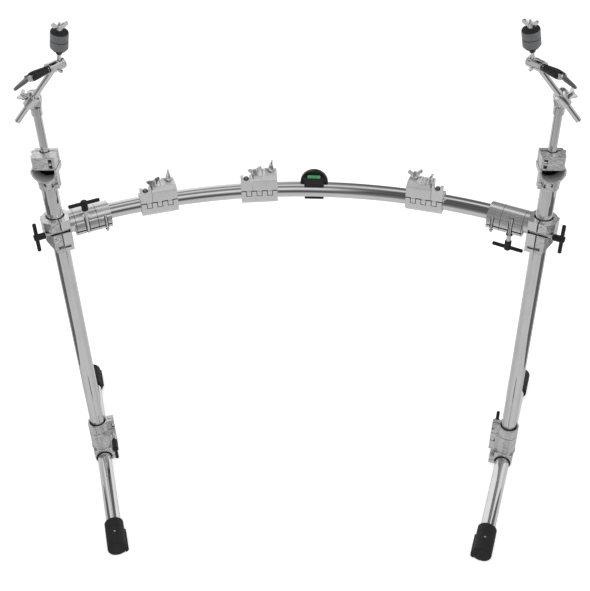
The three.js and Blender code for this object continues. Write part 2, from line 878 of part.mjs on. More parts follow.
// What both upper pieces leave free: the bar, the lower half's knuckles and the hinge pin
function multiClearings() {
  const m = multi;
  return [
    hole('x', multiBore, -m.length, m.length, boreSides),
    ...multiKnuckles(false, m.hingeRadius + touch, -2 * touch),
    hole('x', m.pinRadius + touch, -m.length, m.length, smallSides)
      .translate(0, -m.hingeOut, m.hingeHeight),
  ];
}

// Lower half with the front strip, every second knuckle and the hinge pin
function multiBody() {
  const m = multi;
  const section = outline([
    [-m.frontFace, m.seamHeight - m.seam],
    [-m.frontFace, m.stripBottom],
    [-m.frontFace + m.stripBevel, m.bottom],
    [m.rear - m.shoulder, m.bottom],
    [m.rear, m.bottom + m.shoulder],
    [m.rear, m.seamHeight - m.seam],
  ]);
  const half = join(prism('x', section, -multiHalf, multiHalf), ...multiKnuckles(false, m.hingeRadius, 0));
  const body = cut(
    half,
    hole('x', multiBore, -m.length, m.length, boreSides),
    ...multiKnuckles(true, m.hingeRadius + touch, 0),
  );
  const pin = cylinder('x', m.pinRadius, -multiHalf, multiHalf, smallSides);
  return join(body, pin.translate(0, -m.hingeOut, m.hingeHeight));
}

// Upper jaw: a cast block with a low saddle on its top and two studs
function multiJaw() {
  const m = multi;
  const low = m.seamHeight;
  const section = outline([
    [-m.frontFace, low],
    [-m.frontFace, m.top - m.bevel],
    [-m.frontFace + m.bevel, m.top],
    [m.rear - m.shoulder, m.top],
    [m.rear, m.top - m.shoulder],
    [m.rear, low],
  ]);
  const middle = (multiSplit + multiHalf) / 2;
  const saddle = common(
    cylinder('y', m.saddleRadius, -m.frontFace + m.shoulder, m.rear - m.shoulder, tubeSides)
      .translate(middle, 0, m.top + m.saddleRise - m.saddleRadius),
    box([multiSplit, multiHalf], [-m.frontFace, m.rear], [m.top - overrun, 2 * m.top]),
  );
  const studs = [[m.jawStudAlong, m.jawStudAcross], [m.rodStudAlong, m.rodStudAcross]].map(([x, y]) => {
    return cylinder('z', studRadius, m.top - overrun, m.studTop, smallSides).translate(x, y, 0);
  });
  const seats = [[m.jawStudAlong, m.jawStudAcross], [m.rodStudAlong, m.rodStudAcross]].map(([x, y]) => {
    return cylinder('z', wing.hubRadius + touch, m.top - overrun, m.top + m.saddleRise, smallSides).translate(x, y, 0);
  });
  const block = prism('x', section, multiSplit, multiHalf);
  const odd = multiKnuckles(true, m.hingeRadius, 2 * touch).slice(1);
  return cut(join(block, saddle, ...studs, ...seats, ...odd), ...multiClearings());
}

// Lock collar: half a ring round the bar under a thin front wall with a round-bottomed notch
function multiCollar() {
  const m = multi;
  const low = m.seamHeight;
  const end = multiSplit - m.blockGap;
  const over = box([-multiHalf, end], [-2 * m.rear, 2 * m.rear], [low, 2 * m.top]);
  const ringHalf = common(cylinder('x', m.collarRadius, -multiHalf, end, tubeSides), over);
  const wall = box([-multiHalf, end], [-m.frontFace, -m.frontFace + m.wall], [low, m.top]);
  const foot = box([-multiHalf, end], [m.rear - m.wall, m.rear], [low, low + m.shoulder]);
  const notchX = (end - multiHalf) / 2;
  const notchBase = m.top - m.notchDepth + m.notchWidth / 2;
  const notch = join(
    cylinder('y', m.notchWidth / 2, -2 * m.frontFace, 0, fineSides).translate(notchX, 0, notchBase),
    box([notchX - m.notchWidth / 2, notchX + m.notchWidth / 2], [-2 * m.frontFace, 0], [notchBase, 2 * m.top]),
  );
  const odd = multiKnuckles(true, m.hingeRadius, 2 * touch).slice(0, 1);
  return cut(join(ringHalf, wall, foot, ...odd), notch, ...multiClearings());
}

function multiAssembly({ name, placeShare, hand }) {
  const m = multi;
  const angle = Math.asin((placeShare * halfSpan) / barRadius);
  const nutSeat = m.top + m.saddleRise + touch;
  const jawNut = piece(`${name}_jaw_wing_nut`, wingNut(), 'chrome');
  jawNut.position.set(m.jawStudAlong, m.jawStudAcross, nutSeat);
  jawNut.rotation.z = radians(70);
  const rodNut = piece(`${name}_rod_wing_nut`, wingNut(), 'chrome');
  rodNut.position.set(m.rodStudAlong, m.rodStudAcross, nutSeat);
  rodNut.rotation.z = radians(-70);
  const clamp = group(
    [...barPoint(angle), barHeight],
    piece(`${name}_body`, multiBody(), 'casting'),
    piece(`${name}_jaw`, multiJaw(), 'casting'),
    piece(`${name}_lock_collar`, multiCollar(), 'casting'),
    jawNut,
    rodNut,
  );
  clamp.rotation.z = -angle;
  clamp.scale.x = hand;
  return clamp;
}

// Bubble level: a C clip with a half disc and a housing that carries the vial
function levelClip() {
  const v = level;
  const inner = tubeRadius + 2 * strayOver(v.width) + slip + v.clipPlay;
  const half = v.width / 2;
  const clip = prism('x', sector(inner, inner + v.clipWall, v.clipFromDegrees, v.clipToDegrees), -half, half);
  const above = box([-v.discRadius, v.discRadius], [v.housingFront, v.discThickness], [v.discBase, 2 * v.discRadius]);
  const disc = common(
    cylinder('y', v.discRadius, v.discFront, v.discFront + v.discThickness, tubeSides).translate(0, 0, v.discBase),
    above,
  );
  const housing = box([-half, half], [v.housingFront, v.discFront + overrun], [v.discBase - overrun, v.housingTop]);
  const saddle = cut(
    join(disc, housing),
    cylinder('x', inner + overrun, -v.width, v.width, tubeSides),
    vialShape(touch),
  );
  return join(clip, saddle);
}

function vialShape(gap) {
  const v = level;
  const half = v.vialLength / 2 + gap;
  const across = (v.housingFront + v.discFront) / 2;
  return cylinder('x', v.vialRadius + gap, -half, half, fineSides).translate(0, across, v.housingTop - v.vialSunk);
}

function levelAssembly() {
  const angle = Math.asin((level.placeShare * halfSpan) / barRadius);
  const holder = group(
    [...barPoint(angle), barHeight],
    piece('level_clip', levelClip(), 'levelBody'),
    piece('level_vial', vialShape(0), 'vial'),
  );
  holder.rotation.z = -angle;
  return holder;
}

// Top clamp pieces: origin on the post's axis at the height of the crossbar
const topKnuckles = (odd, radius, gap) => {
  const { hingeX, mastY, blockBottom, top } = topClamp;
  return knuckles(radius, hingeX, mastY, blockBottom, top, 3, odd, gap);
};

const mastHole = () => {
  const { mastX, mastY, blockBottom, top } = topClamp;
  return hole('z', mast.radius + slip, blockBottom, 2 * top - blockBottom, fineSides).translate(mastX, mastY, 0);
};

// Cast body: tapered post collar, cross socket open at the front, and the rear mast plate
function topClampBody() {
  const t = topClamp;
  const under = box([-2 * t.cupRadius, 2 * t.cupRadius], [-2 * t.cupFront, 2 * t.rear], [t.bottom, t.blockBottom]);
  const cup = common(
    cylinder('y', t.cupRadius, -t.cupFront, t.rear, tubeSides).translate(t.cupShift, 0, t.cupHeight),
    under,
  );
  const collar = turned('z', [
    [0, t.bottom],
    [t.rimRadius - touch, t.bottom],
    [t.rimRadius, t.bottom + t.rimHeight],
    [t.collarFront, t.cupHeight - t.cupBore],
    [t.collarFront, t.cupHeight - t.cupBore / 2],
    [0, t.cupHeight - t.cupBore / 2],
  ], tubeSides);
  const plate = box([-t.outer, t.inner], [t.mastY + t.seam / 2, t.rear], [t.cupHeight, t.top]);
  const ear = box(
    [tubeRadius, t.earReach],
    [-t.earThickness, t.earThickness],
    [t.bottom, t.cupHeight - t.cupBore / 2],
  );
  const earSlit = box([0, 2 * t.earReach], [0, t.earSlot], [t.bottom - overrun, t.cupHeight - t.cupRadius]);
  const bore = common(
    cylinder('y', t.cupBore, -2 * t.cupFront, t.rear - t.rearWall, tubeSides).translate(t.cupShift, 0, t.cupHeight),
    under,
  );
  const postKey = box(
    [-t.postKeyWidth / 2, t.postKeyWidth / 2],
    [-2 * t.rimRadius, -t.rimRadius + t.postKeyDepth],
    [t.postKeyBase, t.postKeyBase + t.postKeyHeight],
  );
  const shell = join(cup, collar, plate, ear, ...topKnuckles(false, t.knuckleRadius, 0));
  const body = cut(
    shell,
    bore,
    earSlit,
    hole('z', tubeRadius + slip, t.bottom - overrun, postTop + touch, boreSides),
    mastHole(),
    postKey,
    ...topKnuckles(true, t.knuckleRadius + touch, 0),
  );
  const pin = cylinder('z', t.pinRadius, t.blockBottom, t.top, smallSides);
  return join(body, pin.translate(t.hingeX, t.mastY, 0));
}

// Hinged front jaw that closes on the mast
function topClampJaw() {
  const t = topClamp;
  const [front, back] = [-t.cupFront, t.mastY - t.seam / 2];
  const heights = [t.blockBottom + touch, t.top];
  const width = t.outer + t.inner;
  const rounded = prism('z', roundedBox(width, 2 * (back - front), t.jawRound), ...heights, smallSides / 4);
  const block = common(
    rounded.translate((t.inner - t.outer) / 2, back, 0),
    box([-t.outer, t.inner], [front, back], heights),
  );
  const middle = (t.blockBottom + t.top) / 2;
  const key = box(
    [t.keyX - t.keyWidth / 2, t.keyX + t.keyWidth / 2],
    [2 * front, front + t.keyDepth],
    [middle - t.keyHeight / 2, middle + t.keyHeight / 2],
  );
  return cut(
    join(block, ...topKnuckles(true, t.knuckleRadius, 2 * touch)),
    mastHole(),
    key,
    ...topKnuckles(false, t.knuckleRadius + touch, -2 * touch),
    hole('z', t.pinRadius + touch, t.blockBottom, 2 * t.top, smallSides).translate(t.hingeX, t.mastY, 0),
  );
}

// Short mast with half of the tilting disc pair on its head
function mastPiece() {
  const [m, s] = [mast, tilter];
  const { mastX, mastY, blockBottom } = topClamp;
  const bottom = blockBottom + m.footRise;
  const stem = turned('z', [
    [0, bottom],
    [m.radius, bottom],
    [m.radius, m.top - m.collarHeight],
    [m.collarRadius, m.top - m.collarHeight],
    [m.collarRadius, m.top],
    [0, m.top],
  ]);
  const faces = [s.split + touch / 2, s.split + s.discThickness];
  const strut = box([-s.strutWidth / 2, s.strutWidth / 2], faces, [m.top - overrun, s.height]);
  const disc = cylinder('y', s.discRadius, ...faces).translate(0, 0, s.height);
  return cut(
    join(stem.translate(0, mastY, 0), strut, disc),
    cylinder('z', m.radius - m.wall, bottom - overrun, m.top - m.collarHeight).translate(0, mastY, 0),
    hole('y', studRadius + touch, -s.boltEnd, s.boltEnd, smallSides).translate(0, 0, s.height),
  ).translate(mastX, 0, 0);
}

// Tilting half: disc with its bolt and the split eye for the boom arm; origin on the tilt axis
function boomTilter() {
  const s = tilter;
  const disc = cylinder('y', s.discRadius, s.split - s.discThickness, s.split - touch / 2);
  const bolt = cylinder('y', studRadius, s.split - s.discThickness, s.boltEnd, smallSides);
  const eyeAt = (round) => round.rotateY(radians(s.armLeanDegrees)).translate(0, s.armY, 0);
  const eye = eyeAt(cylinder('z', s.eyeRadius, -s.eyeLength / 2, s.eyeLength / 2));
  return cut(join(disc, bolt, eye), eyeAt(hole('z', arm.radius + slip, -s.eyeLength, s.eyeLength)));
}

// Boom arm with the tilter's barrel and brake sleeve; origin in the barrel, whose axis is X
const barrelHalf = cymbal.barrelLength / 2;
const leverOut = barrelHalf + cymbal.neckLength + cymbal.sleeveLength + lever.earRadius;

function boomArm() {
  const [c, l] = [cymbal, lever];
  const rod = cylinder('z', arm.radius, -arm.below - arm.toBarrel, 0, smallSides)
    .rotateY(radians(tilter.armLeanDegrees))
    .rotateZ(radians(-c.axisTurnDegrees));
  const barrel = cylinder('x', c.barrelRadius, -barrelHalf, barrelHalf);
  const sleeve = turned('x', [
    [0, -leverOut + l.earRadius],
    [c.sleeveRadius, -leverOut + l.earRadius],
    [c.sleeveRadius, -barrelHalf - c.neckLength],
    [c.neckRadius, -barrelHalf - c.neckLength],
    [c.neckRadius, 0],
    [0, 0],
  ]);
  const ears = join(
    cylinder('y', l.earRadius, -l.earWidth / 2, l.earWidth / 2, smallSides).translate(-leverOut, 0, 0),
    box([-leverOut, -leverOut + l.earRadius + overrun], [-l.earWidth / 2, l.earWidth / 2], [-l.earRadius, l.earRadius]),
  );
  const space = box(
    [-2 * leverOut, -leverOut + l.earRadius],
    [-l.earGap / 2, l.earGap / 2],
    [-2 * l.earRadius, 2 * l.earRadius],
  );
  const slotWidth = c.rodFootRadius + c.slotPlay;
  const slot = prism(
    'x',
    sector(c.barrelBore - overrun, c.barrelRadius + overrun, 90 - c.slotReachDegrees, 90 + c.slotReachDegrees),
    c.rodAlong - slotWidth,
    c.rodAlong + slotWidth,
  );
  const bore = hole('x', c.barrelBore, -barrelHalf + c.capLength, barrelHalf + overrun);
  const pin = cylinder('y', l.pinRadius, -l.earWidth / 2, l.earWidth / 2, smallSides).translate(-leverOut, 0, 0);
  return join(cut(join(rod, barrel, sleeve, ears), bore, slot, space), pin);
}

// Rotor in the barrel with the cymbal rod and its seat; origin on the barrel's axis under the rod
function cymbalRod() {
  const c = cymbal;
  const rotor = cylinder('x', c.rotorRadius, -c.rotorLength / 2, c.rotorLength / 2);
  const seatEnd = c.seatStart + c.seatLength;
  const rod = turned('z', [
    [0, 0],
    [c.rodFootRadius, 0],
    [c.rodFootRadius, c.seatStart],
    [c.seatNeckRadius, c.seatStart],
    [c.seatRadius, seatEnd - c.seatLip],
    [c.seatRadius, seatEnd],
    [studRadius, seatEnd],
    [studRadius, c.rodLength],
    [0, c.rodLength],
  ], smallSides);
  return join(rotor, rod);
}

// Two felts on one sleeve
const feltBase = cymbal.seatStart + cymbal.seatLength + touch;
const feltTop = feltBase + 2 * cymbal.feltHeight + cymbal.feltGroove;

function cymbalFelts() {
  const c = cymbal;
  const bore = studRadius + touch;
  return turned('z', [
    [bore, feltBase],
    [c.feltRadius, feltBase],
    [c.feltRadius, feltBase + c.feltHeight],
    [c.feltNeck, feltBase + c.feltHeight],
    [c.feltNeck, feltTop - c.feltHeight],
    [c.feltRadius, feltTop - c.feltHeight],
    [c.feltRadius, feltTop],
    [bore, feltTop],
    [bore, feltBase],
  ]);
}

// Release lever along -X from its pin
function releaseLever() {
  const l = lever;
  const thickness = l.earGap / 2 - touch;
  const eye = cylinder('y', l.eyeRadius, -thickness, thickness, smallSides);
  const grip = turned('x', [
    [0, -l.length],
    [l.gripRadius - l.gripTip / 2, -l.length],
    [l.gripRadius, -l.length + l.gripTip],
    [l.gripRadius, -l.gripStart - l.gripTip],
    [l.neckRadius, -l.gripStart],
    [l.neckRadius, 0],
    [0, 0],
  ], smallSides);
  return cut(join(eye, grip), hole('y', l.pinRadius + touch, -l.earWidth, l.earWidth, smallSides));
}

// Everything above the crossbar on one post
function topAssembly(side) {
  const [c, s, t] = [cymbal, tilter, topClamp];
  const lean = radians(s.armLeanDegrees);
  const tilting = piece(`${side}_boom_tilter`, boomTilter(), 'chrome');
  tilting.position.set(t.mastX, 0, s.height);
  const tilterNut = piece(`${side}_tilter_wing_nut`, wingNut(), 'chrome');
  tilterNut.position.set(t.mastX, s.split + s.discThickness + touch, s.height);
  tilterNut.rotation.set(-Math.PI / 2, 0, radians(35), 'XYZ');
  const releaseArm = piece(`${side}_release_lever`, releaseLever(), 'casting');
  releaseArm.position.x = -leverOut;
  releaseArm.rotation.y = -radians(lever.droopDegrees);
  const cymbalNut = piece(`${side}_cymbal_wing_nut`, wingNut(), 'chrome');
  cymbalNut.position.z = feltTop + c.nutGap;
  cymbalNut.rotation.z = radians(-c.axisTurnDegrees + 90);
  const rod = group(
    [c.rodAlong, 0, 0],
    piece(`${side}_cymbal_tilter`, cymbalRod(), 'chrome'),
    piece(`${side}_cymbal_felts`, cymbalFelts(), 'felt'),
    cymbalNut,
  );
  rod.rotation.x = radians(c.rodLeanDegrees);
  const barrel = group(
    [t.mastX + arm.toBarrel * Math.sin(lean), s.armY, s.height + arm.toBarrel * Math.cos(lean)],
    piece(`${side}_boom_arm`, boomArm(), 'chrome'),
    releaseArm,
    rod,
  );
  barrel.rotation.z = radians(c.axisTurnDegrees);
  return group(
    [-halfSpan, 0, barHeight],
    piece(`${side}_post`, postTube(), 'chrome'),
    piece(`${side}_top_clamp_body`, topClampBody(), 'casting'),
    piece(`${side}_top_clamp_jaw`, topClampJaw(), 'casting'),
    piece(`${side}_mast`, mastPiece(), 'chrome'),
    tilting,
    tilterNut,
    barrel,
  );
}

// One side of the rack, built on the left; the right side is its mirror image
function sideAssembly(side, hand, handleDown, handleBehind) {
  const half = group(
    [0, 0, 0],
    topAssembly(side),
    barClampAssembly(side, handleDown),
    baseAssembly(side, handleBehind),
  );
  half.scale.x = hand;
  return half;
}

const crossbar = piece('crossbar_tube', crossbarTube(), 'chrome');
crossbar.position.z = barHeight;

const rack = group(
  [0, -leg.rearShift * Math.cos(radians(leg.toeInDegrees)), 0],
  crossbar,
  levelAssembly(),
  ...multiPlaces.map(multiAssembly),
  sideAssembly('left', 1, false, false),
  sideAssembly('right', -1, true, true),
);
rack.name = 'drum_rack_frame';
rack.updateMatrixWorld(true);

export default rack;
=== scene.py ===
# %% [markdown]
# # A curved drum rack
# The rack is chromed tube and pale cast clamps. The solids that it is checked with are already
# packed, with coarse round faces, and they stay where they are. Each visible piece is made here
# again with fine round faces, soft edges and threads, in the same place, and rides on its body.

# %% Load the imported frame
import json
from math import asin, atan2, cos, degrees, hypot, pi, radians, sin
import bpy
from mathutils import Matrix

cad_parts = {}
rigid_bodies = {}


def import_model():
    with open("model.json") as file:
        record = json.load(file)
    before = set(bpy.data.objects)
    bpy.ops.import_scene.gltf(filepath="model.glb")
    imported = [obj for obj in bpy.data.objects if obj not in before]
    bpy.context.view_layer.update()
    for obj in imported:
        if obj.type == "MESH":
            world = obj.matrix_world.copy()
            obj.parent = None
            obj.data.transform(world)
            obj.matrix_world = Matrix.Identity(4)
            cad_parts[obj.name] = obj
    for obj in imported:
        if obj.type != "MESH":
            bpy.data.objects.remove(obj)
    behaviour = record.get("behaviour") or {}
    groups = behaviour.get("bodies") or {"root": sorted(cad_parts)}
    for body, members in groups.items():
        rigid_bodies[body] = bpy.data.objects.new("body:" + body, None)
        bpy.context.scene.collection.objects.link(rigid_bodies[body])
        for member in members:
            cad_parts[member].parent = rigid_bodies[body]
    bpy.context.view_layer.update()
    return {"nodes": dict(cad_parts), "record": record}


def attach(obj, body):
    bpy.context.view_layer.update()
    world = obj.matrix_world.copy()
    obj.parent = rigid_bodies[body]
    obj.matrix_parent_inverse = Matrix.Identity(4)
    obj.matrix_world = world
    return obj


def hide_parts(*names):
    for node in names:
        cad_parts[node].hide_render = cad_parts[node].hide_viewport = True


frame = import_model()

from types import SimpleNamespace as Sizes

import bmesh
import bpy
from mathutils import Matrix, Vector

scene = bpy.context.scene
body_of_node = {
    node: body
    for body, nodes in frame["record"]["behaviour"]["bodies"].items()
    for node in nodes
}
slot_of_node = {s["node"]: s["material_slot"] for s in frame["record"]["subparts"]}

# %% [markdown]
# ## Sizes
# Everything is written in millimetres, as a drawing of such a rack would be, and scaled to metres
# once, when a piece is put in its place. These are the sizes that more than one piece needs.

# %% Sizes of the whole rack
MILLIMETRE = 0.001
HALF_SPAN = 567.5
BAR_SAGITTA = 165.6
BAR_RADIUS = (HALF_SPAN**2 + BAR_SAGITTA**2) / (2 * BAR_SAGITTA)
BAR_HALF_ANGLE = asin(HALF_SPAN / BAR_RADIUS)
LEG_HEIGHT = 24.0
BAR_HEIGHT = LEG_HEIGHT + 768.5
TUBE = 19.05
TUBE_BORE = 17.05
PLAY = 0.25
TOE_IN = 17
LEG_SHIFT = 4.0
FRAME_SHIFT = -LEG_SHIFT * cos(radians(TOE_IN))
POST_TOP = 120.0
POST_BOTTOM = -735.2
FINE, ROUND, SMALL = 64, 40, 24
ON_AXIS = 1e-6
BEYOND = 60


def at(x=0, y=0, z=0, axis="Z", degrees=0.0):
    """A place, and a turn about one axis once there."""
    return Matrix.Translation((x, y, z)) @ Matrix.Rotation(radians(degrees), 4, axis)


def along_bar(x):
    """Place and turn of the crossbar's axis at a distance x from the middle."""
    angle = asin(x / BAR_RADIUS)
    y = BAR_SAGITTA - BAR_RADIUS + BAR_RADIUS * cos(angle)
    return at(x, y, BAR_HEIGHT, "Z", -degrees(angle))


# %% [markdown]
# ## A small workbench
# A turner and a founder need few operations: turn a profile, extrude an outline, join and cut.
# Blender has all of them, as mesh code and as the Boolean modifier. The helpers below give each
# a short name, so that the pieces that follow read like the steps in a workshop.

# %% Rough solids
bench = bpy.data.collections.new("bench")
scene.collection.children.link(bench)
AXIS_TURNS = {"z": 0, "x": 1, "y": 2}
QUARTERS = Matrix(((0, 0, 1, 0), (1, 0, 0, 0), (0, 1, 0, 0), (0, 0, 0, 1)))


def solid(points, faces, axis="z"):
    """A closed mesh, made along Z and then laid along the given axis."""
    mesh = bpy.data.meshes.new("rough")
    mesh.from_pydata(points, [], faces)
    for _ in range(AXIS_TURNS[axis]):
        mesh.transform(QUARTERS)
    work = bmesh.new()
    work.from_mesh(mesh)
    bmesh.ops.recalc_face_normals(work, faces=work.faces)
    work.to_mesh(mesh)
    work.free()
    rough = bpy.data.objects.new("rough", mesh)
    bench.objects.link(rough)
    return rough


def circle(radius, sides):
    angles = [2 * pi * i / sides for i in range(sides)]
    return [(radius * cos(a), radius * sin(a)) for a in angles]


def arc(x, y, radius, start, stop, steps=16):
    """Points of an arc, from one angle to another in degrees."""
    angles = [radians(start + (stop - start) * k / steps) for k in range(steps + 1)]
    return [(x + radius * cos(a), y + radius * sin(a)) for a in angles]


def ring_faces(a, b, sides):
    """The faces between two rings of points, which start at a and at b."""
    return [(a + i, a + (i + 1) % sides, b + (i + 1) % sides, b + i) for i in range(sides)]


def turned(profile, sides=ROUND, axis="z"):
    """A profile of (radius, along) points revolved, which ends on the axis or closes on itself."""
    points, rings, faces = [], [], []
    for radius, along in profile:
        rings.append(len(points) if radius > ON_AXIS else None)
        if radius > ON_AXIS:
            points += [(x, y, along) for x, y in circle(radius, sides)]
    if rings[0] is not None:
        rings.append(rings[0])
    for a, b in zip(rings, rings[1:]):
        if a is not None and b is not None:
            faces += ring_faces(a, b, sides)
        elif a is not b:
            start = b if a is None else a
            faces.append(list(range(start, start + sides)))
    return solid(points, faces, axis)


def cylinder(radius, low, high, axis="z", sides=ROUND):
    return turned([(0, low), (radius, low), (radius, high), (0, high)], sides, axis)


def rounded_rod(radius, low, high, crown, axis="z", sides=ROUND):
    """A round rod whose two ends are rounded over."""
    flat = radius - crown
    start, end = arc(flat, low + crown, crown, -90, 0, 4), arc(flat, high - crown, crown, 0, 90, 4)
    return turned([(0, low), *start, *end, (0, high)], sides, axis)


def prism(outline, low, high, axis="z"):
    """An outline extruded along an axis: its plane is XY for z, YZ for x and ZX for y."""
    n = len(outline)
    points = [(a, b, end) for end in (low, high) for a, b in outline]
    return solid(points, [list(range(n)), list(range(n, 2 * n)), *ring_faces(0, n, n)], axis)


def box(x, y, z):
    return prism([(x[0], y[0]), (x[1], y[0]), (x[1], y[1]), (x[0], y[1])], *z)


def moved(rough, x=0.0, y=0.0, z=0.0, turn=None):
    if turn is not None:
        rough.data.transform(turn)
    rough.data.transform(Matrix.Translation((x, y, z)))
    return rough


# %% Join, cut and keep what is common
def combine(operation, base, others):
    for other in others:
        step = base.modifiers.new(operation, "BOOLEAN")
        step.operation, step.object, step.solver = operation, other, "MANIFOLD"
    evaluated = base.evaluated_get(bpy.context.evaluated_depsgraph_get())
    made = bpy.data.meshes.new_from_object(evaluated)
    base.modifiers.clear()
    base.data = made
    for other in others:
        bpy.data.objects.remove(other)
    return base


def join(base, *others):
    return combine("UNION", base, others)


def cut(base, *others):
    return combine("DIFFERENCE", base, others)


def common(base, *others):
    return combine("INTERSECT", base, others)


def ring(outer, inner, low, high, axis="z", sides=ROUND, bore_sides=FINE):
    """A flat ring, most often used to cut a groove round a piece."""
    bore = cylinder(inner, low - 1, high + 1, axis, bore_sides)
    return cut(cylinder(outer, low, high, axis, sides), bore)


# %% [markdown]
# ## Threads
# A screw thread is a spiral groove. Rings of points are stacked along the screw, and each point's
# radius follows the height above the spiral, so the ridges wind round as they do on a real screw.

# %% Threaded rods
RINGS_PER_TURN = 4


def threaded(radius, low, high, pitch=1.25, depth=0.45, sides=16, axis="z"):
    """A threaded rod, whose thread runs out at both ends."""
    rings = max(2, round((high - low) / pitch * RINGS_PER_TURN))
    points = []
    for k in range(rings + 1):
        along = low + (high - low) * k / rings
        end = min(1.0, (along - low) / pitch, (high - along) / pitch)
        for i in range(sides):
            ridge = 1 - abs(2 * ((along / pitch - i / sides) % 1.0) - 1)
            r = radius - depth * (1 - ridge * end)
            a = 2 * pi * i / sides
            points.append((r * cos(a), r * sin(a), along))
    faces = [list(range(sides)), list(range(rings * sides, (rings + 1) * sides))]
    for k in range(rings):
        faces += ring_faces(k * sides, (k + 1) * sides, sides)
    return solid(points, faces, axis)


# %% [markdown]
# ## Working with nodes
# A material is a small network. These helpers add a node, fill in its inputs with plain values or
# with another node's output, and hand back what flows out, so that a network reads as a formula.

# %% Nodes as formulas
def grey(value, warm=0.0):
    return (value + warm, value, value - warm, 1)


def node(tree, kind, inputs=None, **settings):
    made = tree.nodes.new("ShaderNode" + kind)
    for key, setting in settings.items():
        setattr(made, key, setting)
    for label, value in (inputs or {}).items():
        if isinstance(value, bpy.types.NodeSocket):
            tree.links.new(value, made.inputs[label])
        else:
            made.inputs[label].default_value = value
    return made


def flow(tree, kind, inputs=None, output=0, **settings):
    """What flows out of a new node."""
    return node(tree, kind, inputs, **settings).outputs[output]


def maths(tree, operation, *values):
    return flow(tree, "Math", dict(enumerate(values)), operation=operation)


def noise(tree, place, scale, detail=3.0, roughness=0.55):
    inputs = {"Vector": place, "Scale": scale, "Detail": detail, "Roughness": roughness}
    return flow(tree, "TexNoise", inputs, "Fac")


def mapped(tree, value, low, high, to_low=0.0, to_high=1.0, soft=False):
    """A value's range from low to high, mapped to another range, with soft ends if wanted."""
    inputs = {"Value": value, "From Min": low, "From Max": high}
    inputs |= {"To Min": to_low, "To Max": to_high}
    kind = "SMOOTHSTEP" if soft else "LINEAR"
    return flow(tree, "MapRange", inputs, "Result", interpolation_type=kind)


def blended(tree, share, first, second, kind="RGBA"):
    """The first colour or value where the share is 0, and the second where it is 1."""
    return flow(tree, "Mix", {"Factor": share, "A": first, "B": second}, "Result", data_type=kind)


# %% [markdown]
# ## Effects that the finishes share
# Cast and rubbed surfaces have a fine grain with slow clouds in it, and polished ones carry faint
# smudges that change the gloss. The clamps are also darker in their crevices: painted shade, with
# grime. Each effect is one node group, placed in the materials with its own values.

# %% A node group with named sockets
SOCKET_KINDS = {
    float: "NodeSocketFloat", tuple: "NodeSocketColor", type(None): "NodeSocketVector",
}


def new_group(name, inputs, outputs):
    """A group whose inputs start at a number or a colour, or at None for a place."""
    group = bpy.data.node_groups.new(name, "ShaderNodeTree")
    add = group.interface.new_socket
    for label, start in inputs.items():
        socket = add(label, in_out="INPUT", socket_type=SOCKET_KINDS[type(start)])
        if start is not None:
            socket.default_value = start
    for label in outputs:
        add(label, in_out="OUTPUT", socket_type=SOCKET_KINDS[tuple if label == "Color" else float])
    given = group.nodes.new("NodeGroupInput").outputs
    sockets = group.nodes.new("NodeGroupOutput").inputs

    def hand_over(**results):
        for label, result in results.items():
            group.links.new(result, sockets[label])
        return group

    return group, given, hand_over


# %% Grain with clouds, smudges, and painted shade in crevices
GRAIN_SHARE = 0.35


def cloud_grain_group():
    group, given, hand_over = new_group("cloud_grain", {
        "Place": None, "Grain Scale": 900.0, "Cloud Scale": 40.0, "Light Tone": grey(0.7),
        "Dark Tone": grey(0.6), "Gloss Low": 0.3, "Gloss High": 0.45,
    }, ("Color", "Roughness", "Height"))
    grain = noise(group, given["Place"], given["Grain Scale"], 4.0)
    clouds = noise(group, given["Place"], given["Cloud Scale"], 3.0)
    cloud_part = maths(group, "MULTIPLY", clouds, 1 - GRAIN_SHARE)
    both = maths(group, "MULTIPLY_ADD", grain, GRAIN_SHARE, cloud_part)
    return hand_over(
        Color=blended(group, both, given["Dark Tone"], given["Light Tone"]),
        Roughness=mapped(group, clouds, 0.3, 0.7, given["Gloss Low"], given["Gloss High"]),
        Height=grain,
    )


def smudge_group():
    group, given, hand_over = new_group("smudges", {
        "Place": None, "Clean": 0.06, "Smudged": 0.16, "Bright Tone": (0.86, 0.87, 0.88, 1),
        "Dull Tone": (0.8, 0.81, 0.82, 1),
    }, ("Roughness", "Color", "Height"))
    mask = mapped(group, noise(group, given["Place"], 22.0, 4.0, 0.6), 0.45, 0.72)
    stretch = {0: given["Place"], 1: (900.0, 900.0, 60.0)}
    brushed = flow(group, "VectorMath", stretch, operation="MULTIPLY")
    return hand_over(
        Roughness=blended(group, mask, given["Clean"], given["Smudged"], "FLOAT"),
        Color=blended(group, mask, given["Bright Tone"], given["Dull Tone"]),
        Height=noise(group, brushed, 1.0, 2.0),
    )


def crevice_shade_group():
    inputs = {"Tone": grey(0.7), "Darkest": 0.04, "Reach": 0.007}
    group, given, hand_over = new_group("crevices", inputs, ("Color",))
    # Ambient occlusion scales the tone down in hollows: painted shade, with grime.
    hollow = flow(group, "AmbientOcclusion", {"Distance": given["Reach"]}, "AO", samples=12)
    mask = mapped(group, hollow, 0.18, 0.84, given["Darkest"], soft=True)
    scaled = {0: given["Tone"], "Scale": mask}
    return hand_over(Color=flow(group, "VectorMath", scaled, operation="SCALE"))


CLOUD_GRAIN, SMUDGES, CREVICE_SHADE = cloud_grain_group(), smudge_group(), crevice_shade_group()
print("node groups:", CLOUD_GRAIN.name, SMUDGES.name, CREVICE_SHADE.name)


# %% [markdown]
# ## Finishes
# The photograph shows bright chrome on every tube, rod and nut. The multi clamps are satin, and
# the other clamps are brighter, rougher castings. The T handles are black, the feet dull rubber,
# the felts grey, and the level is a black clip with a green vial. Each is a Principled shader.

